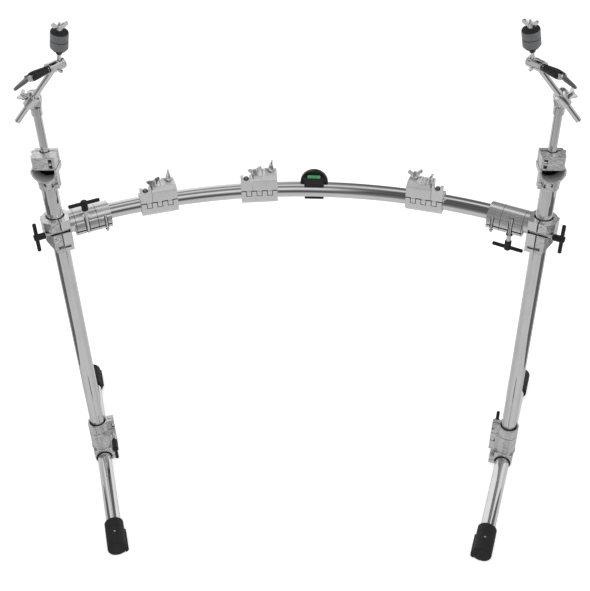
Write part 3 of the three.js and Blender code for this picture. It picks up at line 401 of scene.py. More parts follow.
# %% A material with one of the shared effects
def material(name, group, values, bump, distance=0.0001, crevices=None, **sockets):
    made = bpy.data.materials.new(name)
    made.use_nodes = True
    tree = made.node_tree
    shader = tree.nodes["Principled BSDF"]
    place = flow(tree, "TexCoord", output="Object")
    effect = node(tree, "Group", node_tree=group)
    tree.links.new(place, effect.inputs["Place"])
    for label, value in values.items():
        effect.inputs[label].default_value = value
    tone = effect.outputs["Color"]
    # The crevice group paints shade, with grime, into the tone where the surface is hollow.
    if crevices is not None:
        tone = flow(tree, "Group", output="Color", node_tree=CREVICE_SHADE)
        tone.node.inputs["Darkest"].default_value = crevices
        tree.links.new(effect.outputs["Color"], tone.node.inputs["Tone"])
    height = {"Strength": bump, "Distance": distance, "Height": effect.outputs["Height"]}
    tree.links.new(tone, shader.inputs["Base Color"])
    tree.links.new(effect.outputs["Roughness"], shader.inputs["Roughness"])
    tree.links.new(flow(tree, "Bump", height), shader.inputs["Normal"])
    for label, value in sockets.items():
        shader.inputs[label.replace("_", " ")].default_value = value
    return made


def grained(name, scales, tones, gloss, *relief, warm=(0.0, 0.0), **sockets):
    """A finish with grain and clouds: its scales, tones and gloss are each a pair of values."""
    labels = ("Grain Scale", "Cloud Scale", "Light Tone", "Dark Tone", "Gloss Low", "Gloss High")
    values = dict(zip(labels, (*scales, *map(grey, tones, warm), *gloss)))
    return material(name, CLOUD_GRAIN, values, *relief, **sockets)


# %% The finishes: scales, tones, gloss, bump, its depth and the darkest painted crevice shade
CHROME = material(
    "chrome", SMUDGES,
    {"Clean": 0.05, "Smudged": 0.12, "Bright Tone": grey(0.93), "Dull Tone": grey(0.87)},
    bump=0.02, Metallic=1.0,
)
CASTING = grained(
    "satin_casting", (1400, 35), (0.86, 0.66), (0.24, 0.38), 0.25, 0.0002, 0.03, Metallic=0.6,
)
POLISHED_CASTING = grained(
    "polished_casting", (900, 30), (0.95, 0.84), (0.14, 0.26), 0.2, 0.0002, 0.02, Metallic=0.85,
)
BRIGHT_CASTING = grained(
    "bright_casting", (110, 75), (1.0, 0.6), (0.08, 0.2), 1.0, 0.003, 0.02, Metallic=0.85,
)
# Dark steel: the release lever's own tone, and painted shade on the mast teeth and the collar
# screws.
DARK_STEEL_AND_SHADE = grained(
    "dark_steel_and_shade", (1800, 80), (0.3, 0.2), (0.3, 0.42), 0.15, 0.0001, 0.1, Metallic=0.8,
)
BLACK_METAL = grained(
    "black_metal", (1800, 60), (0.016, 0.007), (0.34, 0.5), 0.15, Specular_IOR_Level=0.35,
)
RUBBER = grained(
    "rubber", (1200, 50), (0.022, 0.01), (0.5, 0.7), 0.35, 0.0002, Specular_IOR_Level=0.3,
)
FELT = grained(
    "felt", (2200, 260), (0.17, 0.05), (0.9, 1.0), 0.9, 0.0006, warm=(-0.008, -0.004),
    Sheen_Weight=0.4, Sheen_Roughness=0.5,
)
BLACK_PLASTIC = grained(
    "black_plastic", (1500, 70), (0.018, 0.008), (0.24, 0.36), 0.1, Specular_IOR_Level=0.4,
)
GREEN_VIAL = material(
    "green_vial", SMUDGES,
    {"Clean": 0.04, "Smudged": 0.09, "Bright Tone": (0.08, 0.46, 0.15, 1),
     "Dull Tone": (0.05, 0.32, 0.1, 1)},
    bump=0.02, Transmission_Weight=0.35, Coat_Weight=0.6,
)
LINING = grained("socket_lining", (1500, 70), (0.34, 0.27), (0.45, 0.6), 0.1)
BLACK_LINE = grained("level_mark", (900, 40), (0.02, 0.01), (0.3, 0.45), 0.02)
FINISH_OF_SLOT = {
    "chrome": CHROME, "cast_metal": CASTING, "black_metal": BLACK_METAL, "rubber": RUBBER,
    "felt": FELT, "black_plastic": BLACK_PLASTIC, "green_vial": GREEN_VIAL,
}
for name, cad in frame["nodes"].items():
    cad.data.materials.clear()
    cad.data.materials.append(FINISH_OF_SLOT[slot_of_node[name]])
print("finishes:", ", ".join(FINISH_OF_SLOT))


# %% [markdown]
# ## Putting a piece in its place
# The right half of the rack is the mirror image of the left, apart from the handles. A piece that
# isn't the same on both of its sides is mirrored, and its faces are turned round again. A turned
# piece is only moved, so its thread stays right-handed.

# %% Place, soften and ride
SCALE = Matrix.Scale(MILLIMETRE, 4)
MERGE_DISTANCE = 0.002
SHARP_ANGLE = radians(32)


def placed(matrix, hand=1, turned_piece=False):
    mirror = Matrix.Diagonal((hand, 1, 1, 1))
    back = Matrix.Diagonal((1, hand, 1, 1)) if turned_piece else Matrix.Identity(4)
    return SCALE @ Matrix.Translation((0, FRAME_SHIFT, 0)) @ mirror @ matrix @ back


def finished(rough, name, body, matrix, finish, slot, edge=0.5, replaces=()):
    """Cleans a rough solid, puts it in place, softens its edges and lets it ride on a body."""
    mesh = rough.data
    work = bmesh.new()
    work.from_mesh(mesh)
    bmesh.ops.remove_doubles(work, verts=work.verts, dist=MERGE_DISTANCE)
    bmesh.ops.dissolve_degenerate(work, edges=work.edges, dist=MERGE_DISTANCE)
    work.to_mesh(mesh)
    work.free()
    mesh.transform(matrix)
    if matrix.determinant() < 0:
        mesh.flip_normals()
    mesh.materials.clear()
    mesh.materials.append(finish)
    mesh.shade_smooth()
    if edge > 0:
        soft = rough.modifiers.new("soft_edges", "BEVEL")
        soft.width, soft.segments = edge * MILLIMETRE, 2
        soft.limit_method, soft.angle_limit = "ANGLE", SHARP_ANGLE
        soft.harden_normals = True
    else:
        mesh.set_sharp_from_angle(angle=SHARP_ANGLE)
    bench.objects.unlink(rough)
    scene.collection.objects.link(rough)
    rough.name = mesh.name = name
    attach(rough, body)
    if replaces:
        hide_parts(*replaces)


def dress(rough, cad_node, matrix, edge=0.5, finish=None):
    """A piece that stands for one CAD node, with its body, and its slot's finish unless one is
    given.
    """
    slot = slot_of_node[cad_node]
    body, finish = body_of_node[cad_node], finish or FINISH_OF_SLOT[slot]
    finished(rough, cad_node + "_shape", body, matrix, finish, slot, edge, [cad_node])


# %% [markdown]
# ## Crossbar, posts and legs
# The tubes are 38 mm chromed steel. A lathe profile makes the straight ones, and the crossbar is
# the same section carried along its arc ring by ring, so that its reflections run without a kink.

# %% Straight tubes
def tube(low, high, axis="z"):
    chamfer = 0.5
    return turned([
        (TUBE_BORE, low), (TUBE - chamfer, low), (TUBE, low + chamfer),
        (TUBE, high - chamfer), (TUBE - chamfer, high), (TUBE_BORE, high),
    ], FINE, axis)


# %% The bowed tube
BAR_END_GAP = 33.0
BAR_STEPS = 120


def crossbar():
    half = BAR_HALF_ANGLE - BAR_END_GAP / BAR_RADIUS
    points, faces = [], []
    for k in range(BAR_STEPS + 1):
        angle = half * (2 * k / BAR_STEPS - 1)
        for across, up in circle(TUBE, FINE) + circle(TUBE_BORE, FINE):
            reach = BAR_RADIUS + across
            y = BAR_SAGITTA - BAR_RADIUS + reach * cos(angle)
            points.append((reach * sin(angle), y, BAR_HEIGHT + up))
    section = 2 * FINE
    for a in range(0, BAR_STEPS * section, section):
        faces += ring_faces(a, a + section, FINE)
        faces += ring_faces(a + FINE, a + section + FINE, FINE)
    for a in (0, BAR_STEPS * section):
        faces += ring_faces(a, a + FINE, FINE)
    return solid(points, faces)


dress(crossbar(), "crossbar_tube", placed(Matrix.Identity(4)), edge=0)

# %% [markdown]
# ## Rubber feet
# Each foot is a thick rubber cap with a flat sole and a lug beside it. The photograph shows a
# plain dull black cap with a rounded end, so it is turned, cut flat below and joined to its lug.

# %% Foot
FOOT_LENGTH = 88.0
FOOT_RADIUS = 24.7
LEG_REACH = 360.0
FOOT_END = -LEG_REACH + 0.3
FOOT_WALL = 6.0
FOOT_GROOVE = 0.8
RIVET_Y = 319


def rubber_foot():
    radius, end, crown = FOOT_RADIUS, FOOT_END, 5.0
    cap = turned([
        (0, end), *arc(radius - crown, end + crown, crown, -90, 0, 6),
        (radius, end + 60), (radius - FOOT_GROOVE, end + 60.6), (radius - FOOT_GROOVE, end + 62.4),
        (radius, end + 63), (radius, end + FOOT_LENGTH - 1.5),
        (radius - 1.5, end + FOOT_LENGTH), (0, end + FOOT_LENGTH),
    ], FINE, "y")
    outline = [(-24, 0), (-24, 23), (-19, 28), (-4, 28), (1, 20), (1, 0)]
    lug = prism(outline, end + FOOT_WALL, end + 64, "y")
    below = box((-BEYOND, BEYOND), (-2 * LEG_REACH, 0), (-BEYOND, -LEG_HEIGHT))
    bore = cylinder(TUBE + PLAY, end + FOOT_WALL, 0, "y", FINE)
    grips = [box((x - 0.8, x + 0.8), (end - 5, end + 70), (-30, -20.5)) for x in range(-18, 19, 6)]
    return cut(join(cap, lug), below, bore, *grips)


def foot_rivet():
    return turned([(0, 24.2), (2.6, 24.2), (2.6, 25.2), (1.9, 25.8), (0, 26.1)], SMALL)


# %% [markdown]
# ## T handles
# A T handle is a steel screw with a black grip. The screw's thread shows where it crosses the
# open slot of its clamp, a chromed neck stands on the clamp, and the grip is a short black barrel
# with a round bar through it.

# %% T handle along +X, with the seam that it closes at x = 0
HANDLE_SCREW = 4.0
HANDLE_NECK = 5.5
HANDLE_FLANGE = 8.2
HANDLE_BARREL = 7.9
HANDLE_BAR = 4.6
HANDLE_HALF_LENGTH = 37.5


def t_handle(name, matrix, hand, tip, seat, start, end):
    """The screw reaches from its tip to the seat, and the grip from its start to its end."""
    where, body, crown = placed(matrix, hand, turned_piece=True), body_of_node[name], 3.0
    screw = threaded(HANDLE_SCREW, -tip, seat + 0.5, 1.5, 0.55, 20, "x")
    neck = turned([
        (0, seat + 0.3), (HANDLE_FLANGE, seat + 0.3), (HANDLE_FLANGE, seat + 1.8),
        (HANDLE_NECK, seat + 1.8), (HANDLE_NECK, start + 0.5), (0, start + 0.5),
    ], ROUND, "x")
    finished(join(screw, neck), name + "_screw", body, where, CHROME, "chrome", 0.0, [name])
    barrel = turned([
        (0, start), (7.2, start), (HANDLE_BARREL, start + 0.7),
        *arc(HANDLE_BARREL - crown, end - crown, crown, 0, 90, 6), (0, end),
    ], ROUND, "x")
    bar = rounded_rod(HANDLE_BAR, -HANDLE_HALF_LENGTH, HANDLE_HALF_LENGTH, 2.6, "z", SMALL)
    grip = join(barrel, moved(bar, x=end - 7))
    finished(grip, name + "_grip", body, where, BLACK_METAL, "black_metal", 0.4)


# %% [markdown]
# ## Wing nuts
# Wing nuts hold the multi clamps and the tilters. A real one is forged: a tapered hub with two
# ears that lean up and out. The ears are extruded from their outline and joined to the hub.

# %% Wing nut standing on z = 0
def wing_nut(size=1.0):
    hub = turned([(3.1, 0), (6.4, 0), (6.4, 1.4), (5.2, 12), (4.4, 13), (3.1, 13)], ROUND)
    outline = [
        (2, 1.0), (6.8, 1.2), (11.5, 3.0), (15.0, 6.4), (17.2, 10.4), (17.6, 13.4), (16.8, 15.6),
        (14.8, 16.5), (12.4, 16.0), (10.4, 14.4), (8.6, 11.4), (6.4, 9.8), (2, 9.6),
    ]
    ears = [moved(prism(outline, -1.9, 1.9, "y"), turn=at(degrees=turn)) for turn in (0, 180)]
    whole = join(hub, *ears)
    for v in whole.data.vertices:
        if hypot(v.co.x, v.co.y) > 3.2:
            v.co *= size
    return whole


def put_wing_nut(cad_node, matrix, hand, size):
    dress(wing_nut(size), cad_node, placed(matrix, hand, turned_piece=True), edge=0.9)


# %% [markdown]
# ## Small screws
# Lock screws with square heads close the clamps. Each is a short threaded rod with a round flange
# and a square head, and it rides on the casting that it is screwed into.

# %% Key screw along +Z, its head on top
def key_screw(name, body, matrix, low, high, hand):
    shank = threaded(2.4, low, high + 0.5, pitch=1.2, depth=0.4)
    flange = cylinder(4.6, high, high + 1.4, sides=SMALL)
    whole = join(shank, flange, box((-2.7, 2.7), (-2.7, 2.7), (high + 1.2, high + 6.5)))
    finished(whole, name, body, placed(matrix, hand, turned_piece=True), CHROME, "chrome", 0.3)


# %% [markdown]
# ## Hinges
# Every clamp closes on a hinge. The knuckles are counted along it, the even ones on the body and
# the odd ones on the jaw. The body's pin runs through the jaw's knuckles with a little play.

# %% Knuckles and the room for them
KNUCKLE_GAP = 0.6
PIN_PLAY = 0.3


def knuckle_ends(clamp, odd, gap):
    low, high = clamp.span
    pitch = (high - low) / clamp.count
    return [
        (low + i * pitch + gap / 2, low + (i + 1) * pitch - gap / 2)
        for i in range(1 if odd else 0, clamp.count, 2)
    ]


def hinge_rod(clamp, radius, ends):
    return moved(cylinder(radius, *ends, clamp.axis, SMALL), *clamp.hinge)


def knuckles(clamp, jaw):
    """The knuckles of the body or the jaw; the jaw's are a little shorter."""
    ends = knuckle_ends(clamp, jaw, KNUCKLE_GAP if jaw else 0)
    return [hinge_rod(clamp, clamp.knuckle, e) for e in ends]


def hinge_room(clamp, jaw):
    """What the body or the jaw leaves free for the other's knuckles, and the jaw for the pin."""
    ends = knuckle_ends(clamp, not jaw, -KNUCKLE_GAP if jaw else 0)
    room = [hinge_rod(clamp, clamp.room, e) for e in ends]
    low, high = clamp.span
    if jaw:
        room.append(hinge_rod(clamp, clamp.pin + PIN_PLAY, (low - 10, high + 10)))
    return room


def hinge_pin(clamp):
    return hinge_rod(clamp, clamp.pin, clamp.pin_span)


def mouth(height, reach=22.6, depth=3.4):
    """The bevelled mouth of a bore that opens upward at a height."""
    low, high, bore = height - depth, height + 0.1, TUBE + 0.2
    return turned([(0, low), (bore, low), (reach, high), (0, high)], FINE)


# %% [markdown]
# ## Crossbar clamps
# The clamp on each end of the crossbar is one casting with a split socket for the bar and one
# half of a collar for the post. The other half is a jaw on a hinge behind the post, and a T
# handle in front pulls it shut. Cutting the same outline in two gives both halves a true seam.

# %% Outline and slots that both halves share
BAR = Sizes(
    top=26, bottom=-56, radius=31, front=-36, side=-34, socket=27, start=20,
    bar_start=32, end=126, slit=-18, handle_x=66, screw_x=111, lock_z=-43,
    hinge=(1, 34.5, 0), axis="z", span=(-56, 26), pin_span=(-56.6, 26.6), count=3,
    knuckle=6.5, room=6.8, pin=2.5,
)


def collar_part(low, high):
    """The collar's outline, extruded, between two places along X."""
    side, front, radius = BAR.side, BAR.front, BAR.radius
    start = -degrees(asin(12 / radius))
    outline = [(side, -20), (-20, front), (24, front)] + arc(0, 0, radius, start, 150, 40)
    whole = prism(outline + [(side, 12)], BAR.bottom, BAR.top)
    return common(whole, box((low, high), (-80, 80), (-120, 60)))


def collar_cuts(low, high):
    """The post's bore with its mouth, and the slots of the handle and the lock screw."""
    return [
        cylinder(TUBE + PLAY, -120, 60, "z", FINE),
        box((low, high), (-38, -24.3), (-6.7, 2.7)),
        box((-12, 18), (-38, -27), (BAR.lock_z - 3.5, BAR.lock_z + 3.5)),
        mouth(BAR.top),
    ]


# %% Cast body and hinged jaw
def bar_clamp_body(handle_down):
    end, slit, x, screw = BAR.end, BAR.slit, BAR.handle_x, BAR.screw_x
    socket = cylinder(BAR.socket, BAR.start, end, "x", FINE)
    outline = [(-12, 5), (-26.6, 5), (-29, 1), (-29, -25), (-26, -28), (-12, -28)]
    pad = prism(outline, 37, end, "x")
    shell = join(collar_part(2.6, 70), socket, pad, *knuckles(BAR, False))
    slot_top = 12 if handle_down else 17
    post_bore, *openings = collar_cuts(1, 22.3)
    body = cut(
        shell,
        post_bore,
        moved(cylinder(TUBE + 1.2, BAR.bar_start, end + 1, "x", FINE), y=0.9),
        box((37, end + 2), (-60, 0), (slit - 1.7, slit + 1.7)),
        box((x - 5.4, x + 5.4), (-35, -22.2), (-29, slot_top)),
        moved(cylinder(5.4, -35, -22.2, "y", ROUND), x=x, z=slot_top),
        box((screw - 4, screw + 4), (-35, -22.8), (-29, 2)),
        moved(cylinder(4, -35, -22.8, "y", ROUND), x=screw, z=2),
        *reversed(openings),
        *hinge_room(BAR, False),
        *[ring(66, 25.9, groove, groove + 1.3, "x") for groove in (39, 92)],
    )
    return join(body, hinge_pin(BAR))


def bar_clamp_jaw():
    whole = join(collar_part(-70, -0.4), *knuckles(BAR, True))
    corner = prism([(-57, -35), (-24, -35), (-57, -16)], -72, 72, "y")
    return cut(whole, *collar_cuts(-68, 1), corner, *hinge_room(BAR, True))


# %% Both crossbar clamps
def bar_clamp(side, hand, handle_down):
    turn = BAR_HALF_ANGLE - BAR.end / (2 * BAR_RADIUS)
    here = at(-HALF_SPAN, 0, BAR_HEIGHT, "Z", degrees(turn))
    name = side + "_bar_clamp"
    dress(bar_clamp_body(handle_down), name + "_body", placed(here, hand), 0.8, POLISHED_CASTING)
    dress(bar_clamp_jaw(), name + "_jaw", placed(here, hand), 0.8, BRIGHT_CASTING)
    t_handle(name + "_post_handle", here @ at(0, -29, -2, "Z", 180), hand, 20, 34, 36, 63)
    screw = here @ at(BAR.handle_x, -28, BAR.slit, "Y", 90 if handle_down else -90)
    reaches = (33, 10, 28, 53) if handle_down else (7.5, 38, 54, 79)
    t_handle(name + "_bar_handle", screw, hand, *reaches)
    across = here @ at(0, -32, BAR.lock_z, "Y", 90)
    key_screw(side + "_post_lock_screw", name, across, 3, 17, hand)
    upright = here @ at(BAR.screw_x, -29, 0, "X", 180)
    key_screw(side + "_bar_lock_screw", name, upright, -8, 28, hand)


for side, hand, down in (("left", 1, False), ("right", -1, True)):
    bar_clamp(side, hand, down)
print("crossbar clamps made")

# %% [markdown]
# ## Base clamps
# The base clamp holds the leg in a split collar below and the post in a hinged sleeve above it.
# Its jaw is a wedge of the sleeve, cut out along the hinge and the seam.

# %% Sleeve, wedge and slots
HINGE_ANGLE = radians(-117.5)
HINGE_SIDE = (cos(HINGE_ANGLE), sin(HINGE_ANGLE))
BASE = Sizes(
    top=122, sleeve=27, start=30, post=33, jaw=36, ear=44, ear_half=12,
    leg=24, leg_end=56, handle_z=66, lock_z=106, screw_ys=(-10, 42),
    hinge=(24.9 * HINGE_SIDE[0], 24.9 * HINGE_SIDE[1], 0), axis="z", span=(36, 122),
    pin_span=(36, 122.4), count=3, knuckle=5.4, room=5.7, pin=2.2,
)


def base_sleeve(low):
    ears = box((TUBE, BASE.ear), (-BASE.ear_half, BASE.ear_half), (low, BASE.top))
    return join(cylinder(BASE.sleeve, low, BASE.top, sides=FINE), ears)


def jaw_wedge(gap):
    """The wedge between the hinge and the seam, less a gap along both."""
    reach = 3 * BASE.ear
    out, up = HINGE_SIDE
    outline = [
        (-up * gap, out * gap), (out * reach - up * gap, up * reach + out * gap),
        (0, -reach), (reach, -reach), (reach, -gap),
    ]
    return prism(outline, BASE.jaw - 0.3, BASE.top + 1)


def base_slots():
    return [
        mouth(BASE.top, 23.0, 4.0),
        box((30, 45), (-13, 13), (BASE.handle_z - 4.7, BASE.handle_z + 4.7)),
        box((35, 45), (-13, 13), (BASE.lock_z - 3.5, BASE.lock_z + 3.5)),
        ring(80, 26.1, 92, 93.4),
    ]


def leg_mouths():
    """The bevelled mouths of the leg's bore at its front and rear end."""
    front, rear, bore = -BASE.leg - 0.1, BASE.leg_end + 0.1, TUBE + 0.2
    return [
        turned([(0, front), (22.8, front), (bore, -20), (0, -20)], FINE, "y"),
        turned([(0, 52), (bore, 52), (22.8, rear), (0, rear)], FINE, "y"),
    ]


# %% Body and jaw
def base_clamp_body():
    leg, end = BASE.leg, BASE.leg_end
    shell = join(
        cylinder(leg, -leg, end, "y", FINE),
        box((-25, 25), (-leg, 25), (0, 31)),
        box((TUBE, 38), (-leg, end), (-12, 13)),
        cylinder(28, BASE.start, BASE.jaw - 0.3, sides=FINE),
        cut(base_sleeve(BASE.start), jaw_wedge(0)),
        *knuckles(BASE, False),
    )
    rim, *slots = base_slots()
    body = cut(
        shell,
        cylinder(TUBE + PLAY, BASE.post, BASE.top + 2, "z", FINE),
        cylinder(TUBE + PLAY, -2 * leg, 2 * end, "y", FINE),
        box((0, 39), (-2 * leg, 2 * end), (0, 2)),
        *slots,
        rim,
        *leg_mouths(),
        *hinge_room(BASE, False),
    )
    return join(body, hinge_pin(BASE))


def base_clamp_jaw():
    whole = join(common(base_sleeve(BASE.jaw), jaw_wedge(3)), *knuckles(BASE, True))
    bore = cylinder(TUBE + PLAY, BASE.start, BASE.top + 2, "z", FINE)
    return cut(whole, bore, *base_slots(), *hinge_room(BASE, True))


# %% Posts, legs and feet with their clamps
def base(side, hand, handle_behind):
    here = at(-HALF_SPAN, 0, LEG_HEIGHT, "Z", TOE_IN)
    name = side + "_base_clamp"
    dress(base_clamp_body(), name + "_body", placed(here, hand), 0.8, BRIGHT_CASTING)
    dress(base_clamp_jaw(), name + "_jaw", placed(here, hand), 0.8, BRIGHT_CASTING)
    screw = here @ at(36, 0, BASE.handle_z, "Z", 90 if handle_behind else -90)
    t_handle(name + "_handle", screw, hand, 11, 12, 34, 71)
    legs = here @ at(y=LEG_SHIFT)
    leg = LEG_REACH - FOOT_WALL - 0.3
    dress(tube(-leg, leg, "y"), side + "_leg_tube", placed(legs, hand), edge=0)
    ends = (("front", 1), ("rear", -1))
    for end, k in ends:
        facing = legs @ Matrix.Diagonal((1, k, 1, 1))
        dress(rubber_foot(), f"{side}_{end}_foot", placed(facing, hand), 0.6)
    for end, k in ends:
        spot, rivet = placed(legs @ at(y=-RIVET_Y * k), hand), f"{side}_{end}_foot_rivet"
        finished(foot_rivet(), rivet, side + "_leg", spot, CHROME, "chrome", 0)
    post = placed(at(-HALF_SPAN, 0, BAR_HEIGHT), hand)
    dress(tube(POST_BOTTOM, POST_TOP), side + "_post", post, edge=0)
    lock, jaw = here @ at(39.5, 0, BASE.lock_z, "X", 90), body_of_node[name + "_jaw"]
    key_screw(side + "_sleeve_lock_screw", jaw, lock, -13, 12.3, hand)
    for k, y in enumerate(BASE.screw_ys):
        key_screw(f"{side}_leg_screw_{k + 1}", name, here @ at(31.5, y), -10, 13, hand)


for side, hand, behind in (("left", 1, False), ("right", -1, True)):
    base(side, hand, behind)
print("base clamps, posts and legs made")

# %% [markdown]
# ## Multi clamps
# Each multi clamp has a lower half with a front strip, an upper jaw and a notched lock collar,
# all on one hinge line along the front. Square lugs are its knuckles and show as a toothed seam,
# with round room between them, and the wing nuts stand on the jaw's two studs.

# %% Sizes and lugs of a multi clamp
MULTI = Sizes(
    half=44.5, split=-14.5, front=-28, rear=25, top=50, seam=7, bottom=-25,
    collar_top=56, notch_z=50, notch=7.2, bore=TUBE + 1.3, lug=5.7,
    lug_room=7.8, hinge=(0, -25, 7), axis="x", span=(-44.5, 44.5),
    pin_span=(-45, 45), count=7, room=7.5, pin=1.8,
)
JAW_STUD, ROD_STUD = (31, 3), (-9, -17)


def knuckle_lugs(odd, reach, gap, first=0, last=None):
    """Square lugs round the pin, from the first to the last that is wanted."""
    height = (MULTI.seam - reach, MULTI.seam + reach)
    return [box(e, (-29.2, -21.2), height) for e in knuckle_ends(MULTI, odd, gap)[first:last]]


def multi_bore():
    return cylinder(MULTI.bore, -90, 90, "x", FINE)


def multi_clearings():
    """What the jaw and the collar leave free for the crossbar and the lower half."""
    *room, pin_hole = hinge_room(MULTI, True)
    return [multi_bore(), *room, *knuckle_lugs(False, MULTI.lug_room, -2.0), pin_hole]


# %% Lower half, upper jaw and lock collar
def multi_body():
    front, rear, bottom, half = MULTI.front, MULTI.rear, MULTI.bottom, MULTI.half
    section = [(front, 5), (front, -14), (-17, bottom), (16, bottom)]
    section += arc(16, bottom + 9, 9, -90, 0, 8)[1:] + [(rear, 5)]
    shell = join(prism(section, -half, half, "x"), *knuckle_lugs(False, MULTI.lug, 1.2))
    lug_room = knuckle_lugs(True, MULTI.lug_room, -1.2)
    return join(cut(shell, multi_bore(), *hinge_room(MULTI, False), *lug_room), hinge_pin(MULTI))


def multi_jaw():
    front, rear, top, seam = MULTI.front, MULTI.rear, MULTI.top, MULTI.seam
    split, half = MULTI.split, MULTI.half
    section = [(front, seam), (front, 39), *arc(-20, 39, 8, 180, 115, 6), (-19, top)]
    section += arc(16, top - 9, 9, 90, 0, 8) + [(rear, seam)]
    saddle = common(
        moved(cylinder(30, -19, 16, "y", FINE), x=(split + half) / 2, z=top + 3 - 30),
        box((split, half), (front, rear), (top - 1, 100)),
    )
    studs = [moved(threaded(3.0, 49, 68), *place) for place in (JAW_STUD, ROD_STUD)]
    seats = [moved(cylinder(7.4, 46, 53), *place) for place in (JAW_STUD, ROD_STUD)]
    lugs = knuckle_lugs(True, MULTI.lug, 1.9, first=1)
    seat_disc, seat_core = cylinder(8.4, 50, 60), cylinder(7.3, 49, 61)
    return cut(
        join(prism(section, split - 1.6, half, "x"), saddle, *studs, *seats, *lugs),
        *multi_clearings(),
        moved(cylinder(5.5, -60, 60, "y", ROUND), x=11, z=top + 5.5),
        box((-16, 46), (5.4, 6.6), (30, 60)),
        cut(moved(seat_disc, *JAW_STUD), moved(seat_core, *JAW_STUD)),
    )


def multi_collar():
    low, end, half = MULTI.seam, MULTI.split - 2.4, MULTI.half
    notch, notch_z, x = MULTI.notch, MULTI.notch_z, (end - half) / 2
    width = (-half, end)
    whole = join(
        common(cylinder(27, *width, "x", FINE), box(width, (-50, 50), (low, 100))),
        box(width, (MULTI.front, -21), (low, MULTI.collar_top)),
        box(width, (18, MULTI.rear), (low, low + 9)),
        *knuckle_lugs(True, MULTI.lug, 1.9, last=1),
    )
    opening = join(
        moved(cylinder(notch, -56, 0, "y", ROUND), x=x, z=notch_z),
        box((x - notch, x + notch), (-56, 0), (notch_z, 100)),
    )
    return cut(whole, opening, *multi_clearings())


def collar_screw():
    profile = [(0, 28), (2.4, 28), (2.4, 42), (6.3, 42), (6.3, 47.6), (5.2, 48.8), (0, 48.8)]
    return turned(profile, ROUND)


# %% The three multi clamps
MULTI_PLACES = (("left", -0.6044, 1), ("middle", -0.17445, 1), ("right", 0.54361, -1))
NUT_TURNS = {1: (78, 24), -1: (24, 78)}
for where, share, hand in MULTI_PLACES:
    name = where + "_multi_clamp"
    upright = along_bar(share * HALF_SPAN)
    here = placed(upright @ Matrix.Diagonal((hand, 1, 1, 1)))
    for part, shape in (("body", multi_body), ("jaw", multi_jaw), ("lock_collar", multi_collar)):
        dress(shape(), f"{name}_{part}", here, 0.6)
    studs = zip(("jaw", "rod"), (JAW_STUD, ROD_STUD), NUT_TURNS[hand])
    for part, (x, y), turn in studs:
        nut = upright @ at(hand * x, y, 53.3, "Z", turn)
        put_wing_nut(f"{name}_{part}_wing_nut", nut, 1, 1.1)
    # The collar screw's dark steel tone also paints the shade inside the collar's notch.
    finished(
        collar_screw(), where + "_collar_screw", name + "_lock_collar",
        placed(upright @ at(hand * -30.75, -19)), DARK_STEEL_AND_SHADE, "chrome", 0,
    )
print("multi clamps made")

# %% [markdown]
# ## Bubble level
# A black plastic clip snaps on the crossbar behind its middle, and a green vial lies in its top.
# The clip is a ring sector, and the half disc behind it carries the vial's housing.

# %% Clip and vial
LEVEL_SHARE = 0.0652
CLIP_INNER = TUBE + 0.9
CLIP_HALF = 23.5
VIAL_RADIUS = 5.0
VIAL_HALF = 16.0
VIAL_PLACE = (0, -9.5, 39)


def level_clip():
    sector = arc(0, 0, CLIP_INNER + 4, -118, 138, 48) + arc(0, 0, CLIP_INNER, 138, -118, 48)
    disc = common(moved(cylinder(34, -3, 6, "y", FINE), z=20), box((-34, 34), (-16, 9), (20, 68)))
    housing = box((-CLIP_HALF, CLIP_HALF), (-16, -2), (19, 39.5))
    room = VIAL_HALF + 0.3
    saddle = cut(
        join(disc, housing),
        cylinder(CLIP_INNER + 1, -47, 47, "x", FINE),
        moved(cylinder(VIAL_RADIUS + 0.3, -room, room, "x"), *VIAL_PLACE),
        box((-room, room), (-20, -9.5), (38.2, 60)),
    )
    return join(prism(sector, -CLIP_HALF, CLIP_HALF, "x"), saddle)


here = placed(along_bar(LEVEL_SHARE * HALF_SPAN))
dress(level_clip(), "level_clip", here, 0.9)
vial = rounded_rod(VIAL_RADIUS, -VIAL_HALF, VIAL_HALF, 2, "x")
dress(moved(vial, *VIAL_PLACE), "level_vial", here, 0)
for k, x in enumerate((-4.5, 4.5)):
    mark = moved(ring(5.12, 4.9, x - 0.3, x + 0.3, "x", bore_sides=ROUND), *VIAL_PLACE)
    finished(mark, f"level_mark_{k + 1}", "level", here, BLACK_LINE, "black_plastic", 0)
print("bubble level made")

# %% [markdown]
# ## Top clamps
# The clamp on each post has a tapered collar, an empty half-round socket that is open to the
# front, and a block above it. The front of the block is a hinged jaw that grips the mast. A dark
# rubber sheet in the rear of the socket paints the shade there, and a smoother lining its floor.

# %% Body and jaw
MAST = 9.525
MAST_PLACE = (4, 8)
TOP = Sizes(
    bottom=104, collar_top=142.5, cup=29.5, bore=25, centre=(3, 0, 155),
    front=-26, rear=22, left=-22, right=31, block=160, top=191, step=5.0,
    hinge=(-22, 8, 0), axis="z", span=(160, 191), pin_span=(160, 191.5), count=3,
    knuckle=5.2, room=5.5, pin=2.2,
)


def mast_hole():
    return moved(cylinder(MAST + PLAY, TOP.block, 222), *MAST_PLACE)


def half_round(radius, low, high, under):
    """The part of a cylinder along Y that lies in a box under the block."""
    return common(moved(cylinder(radius, low, high, "y", FINE), *TOP.centre), box(*under))


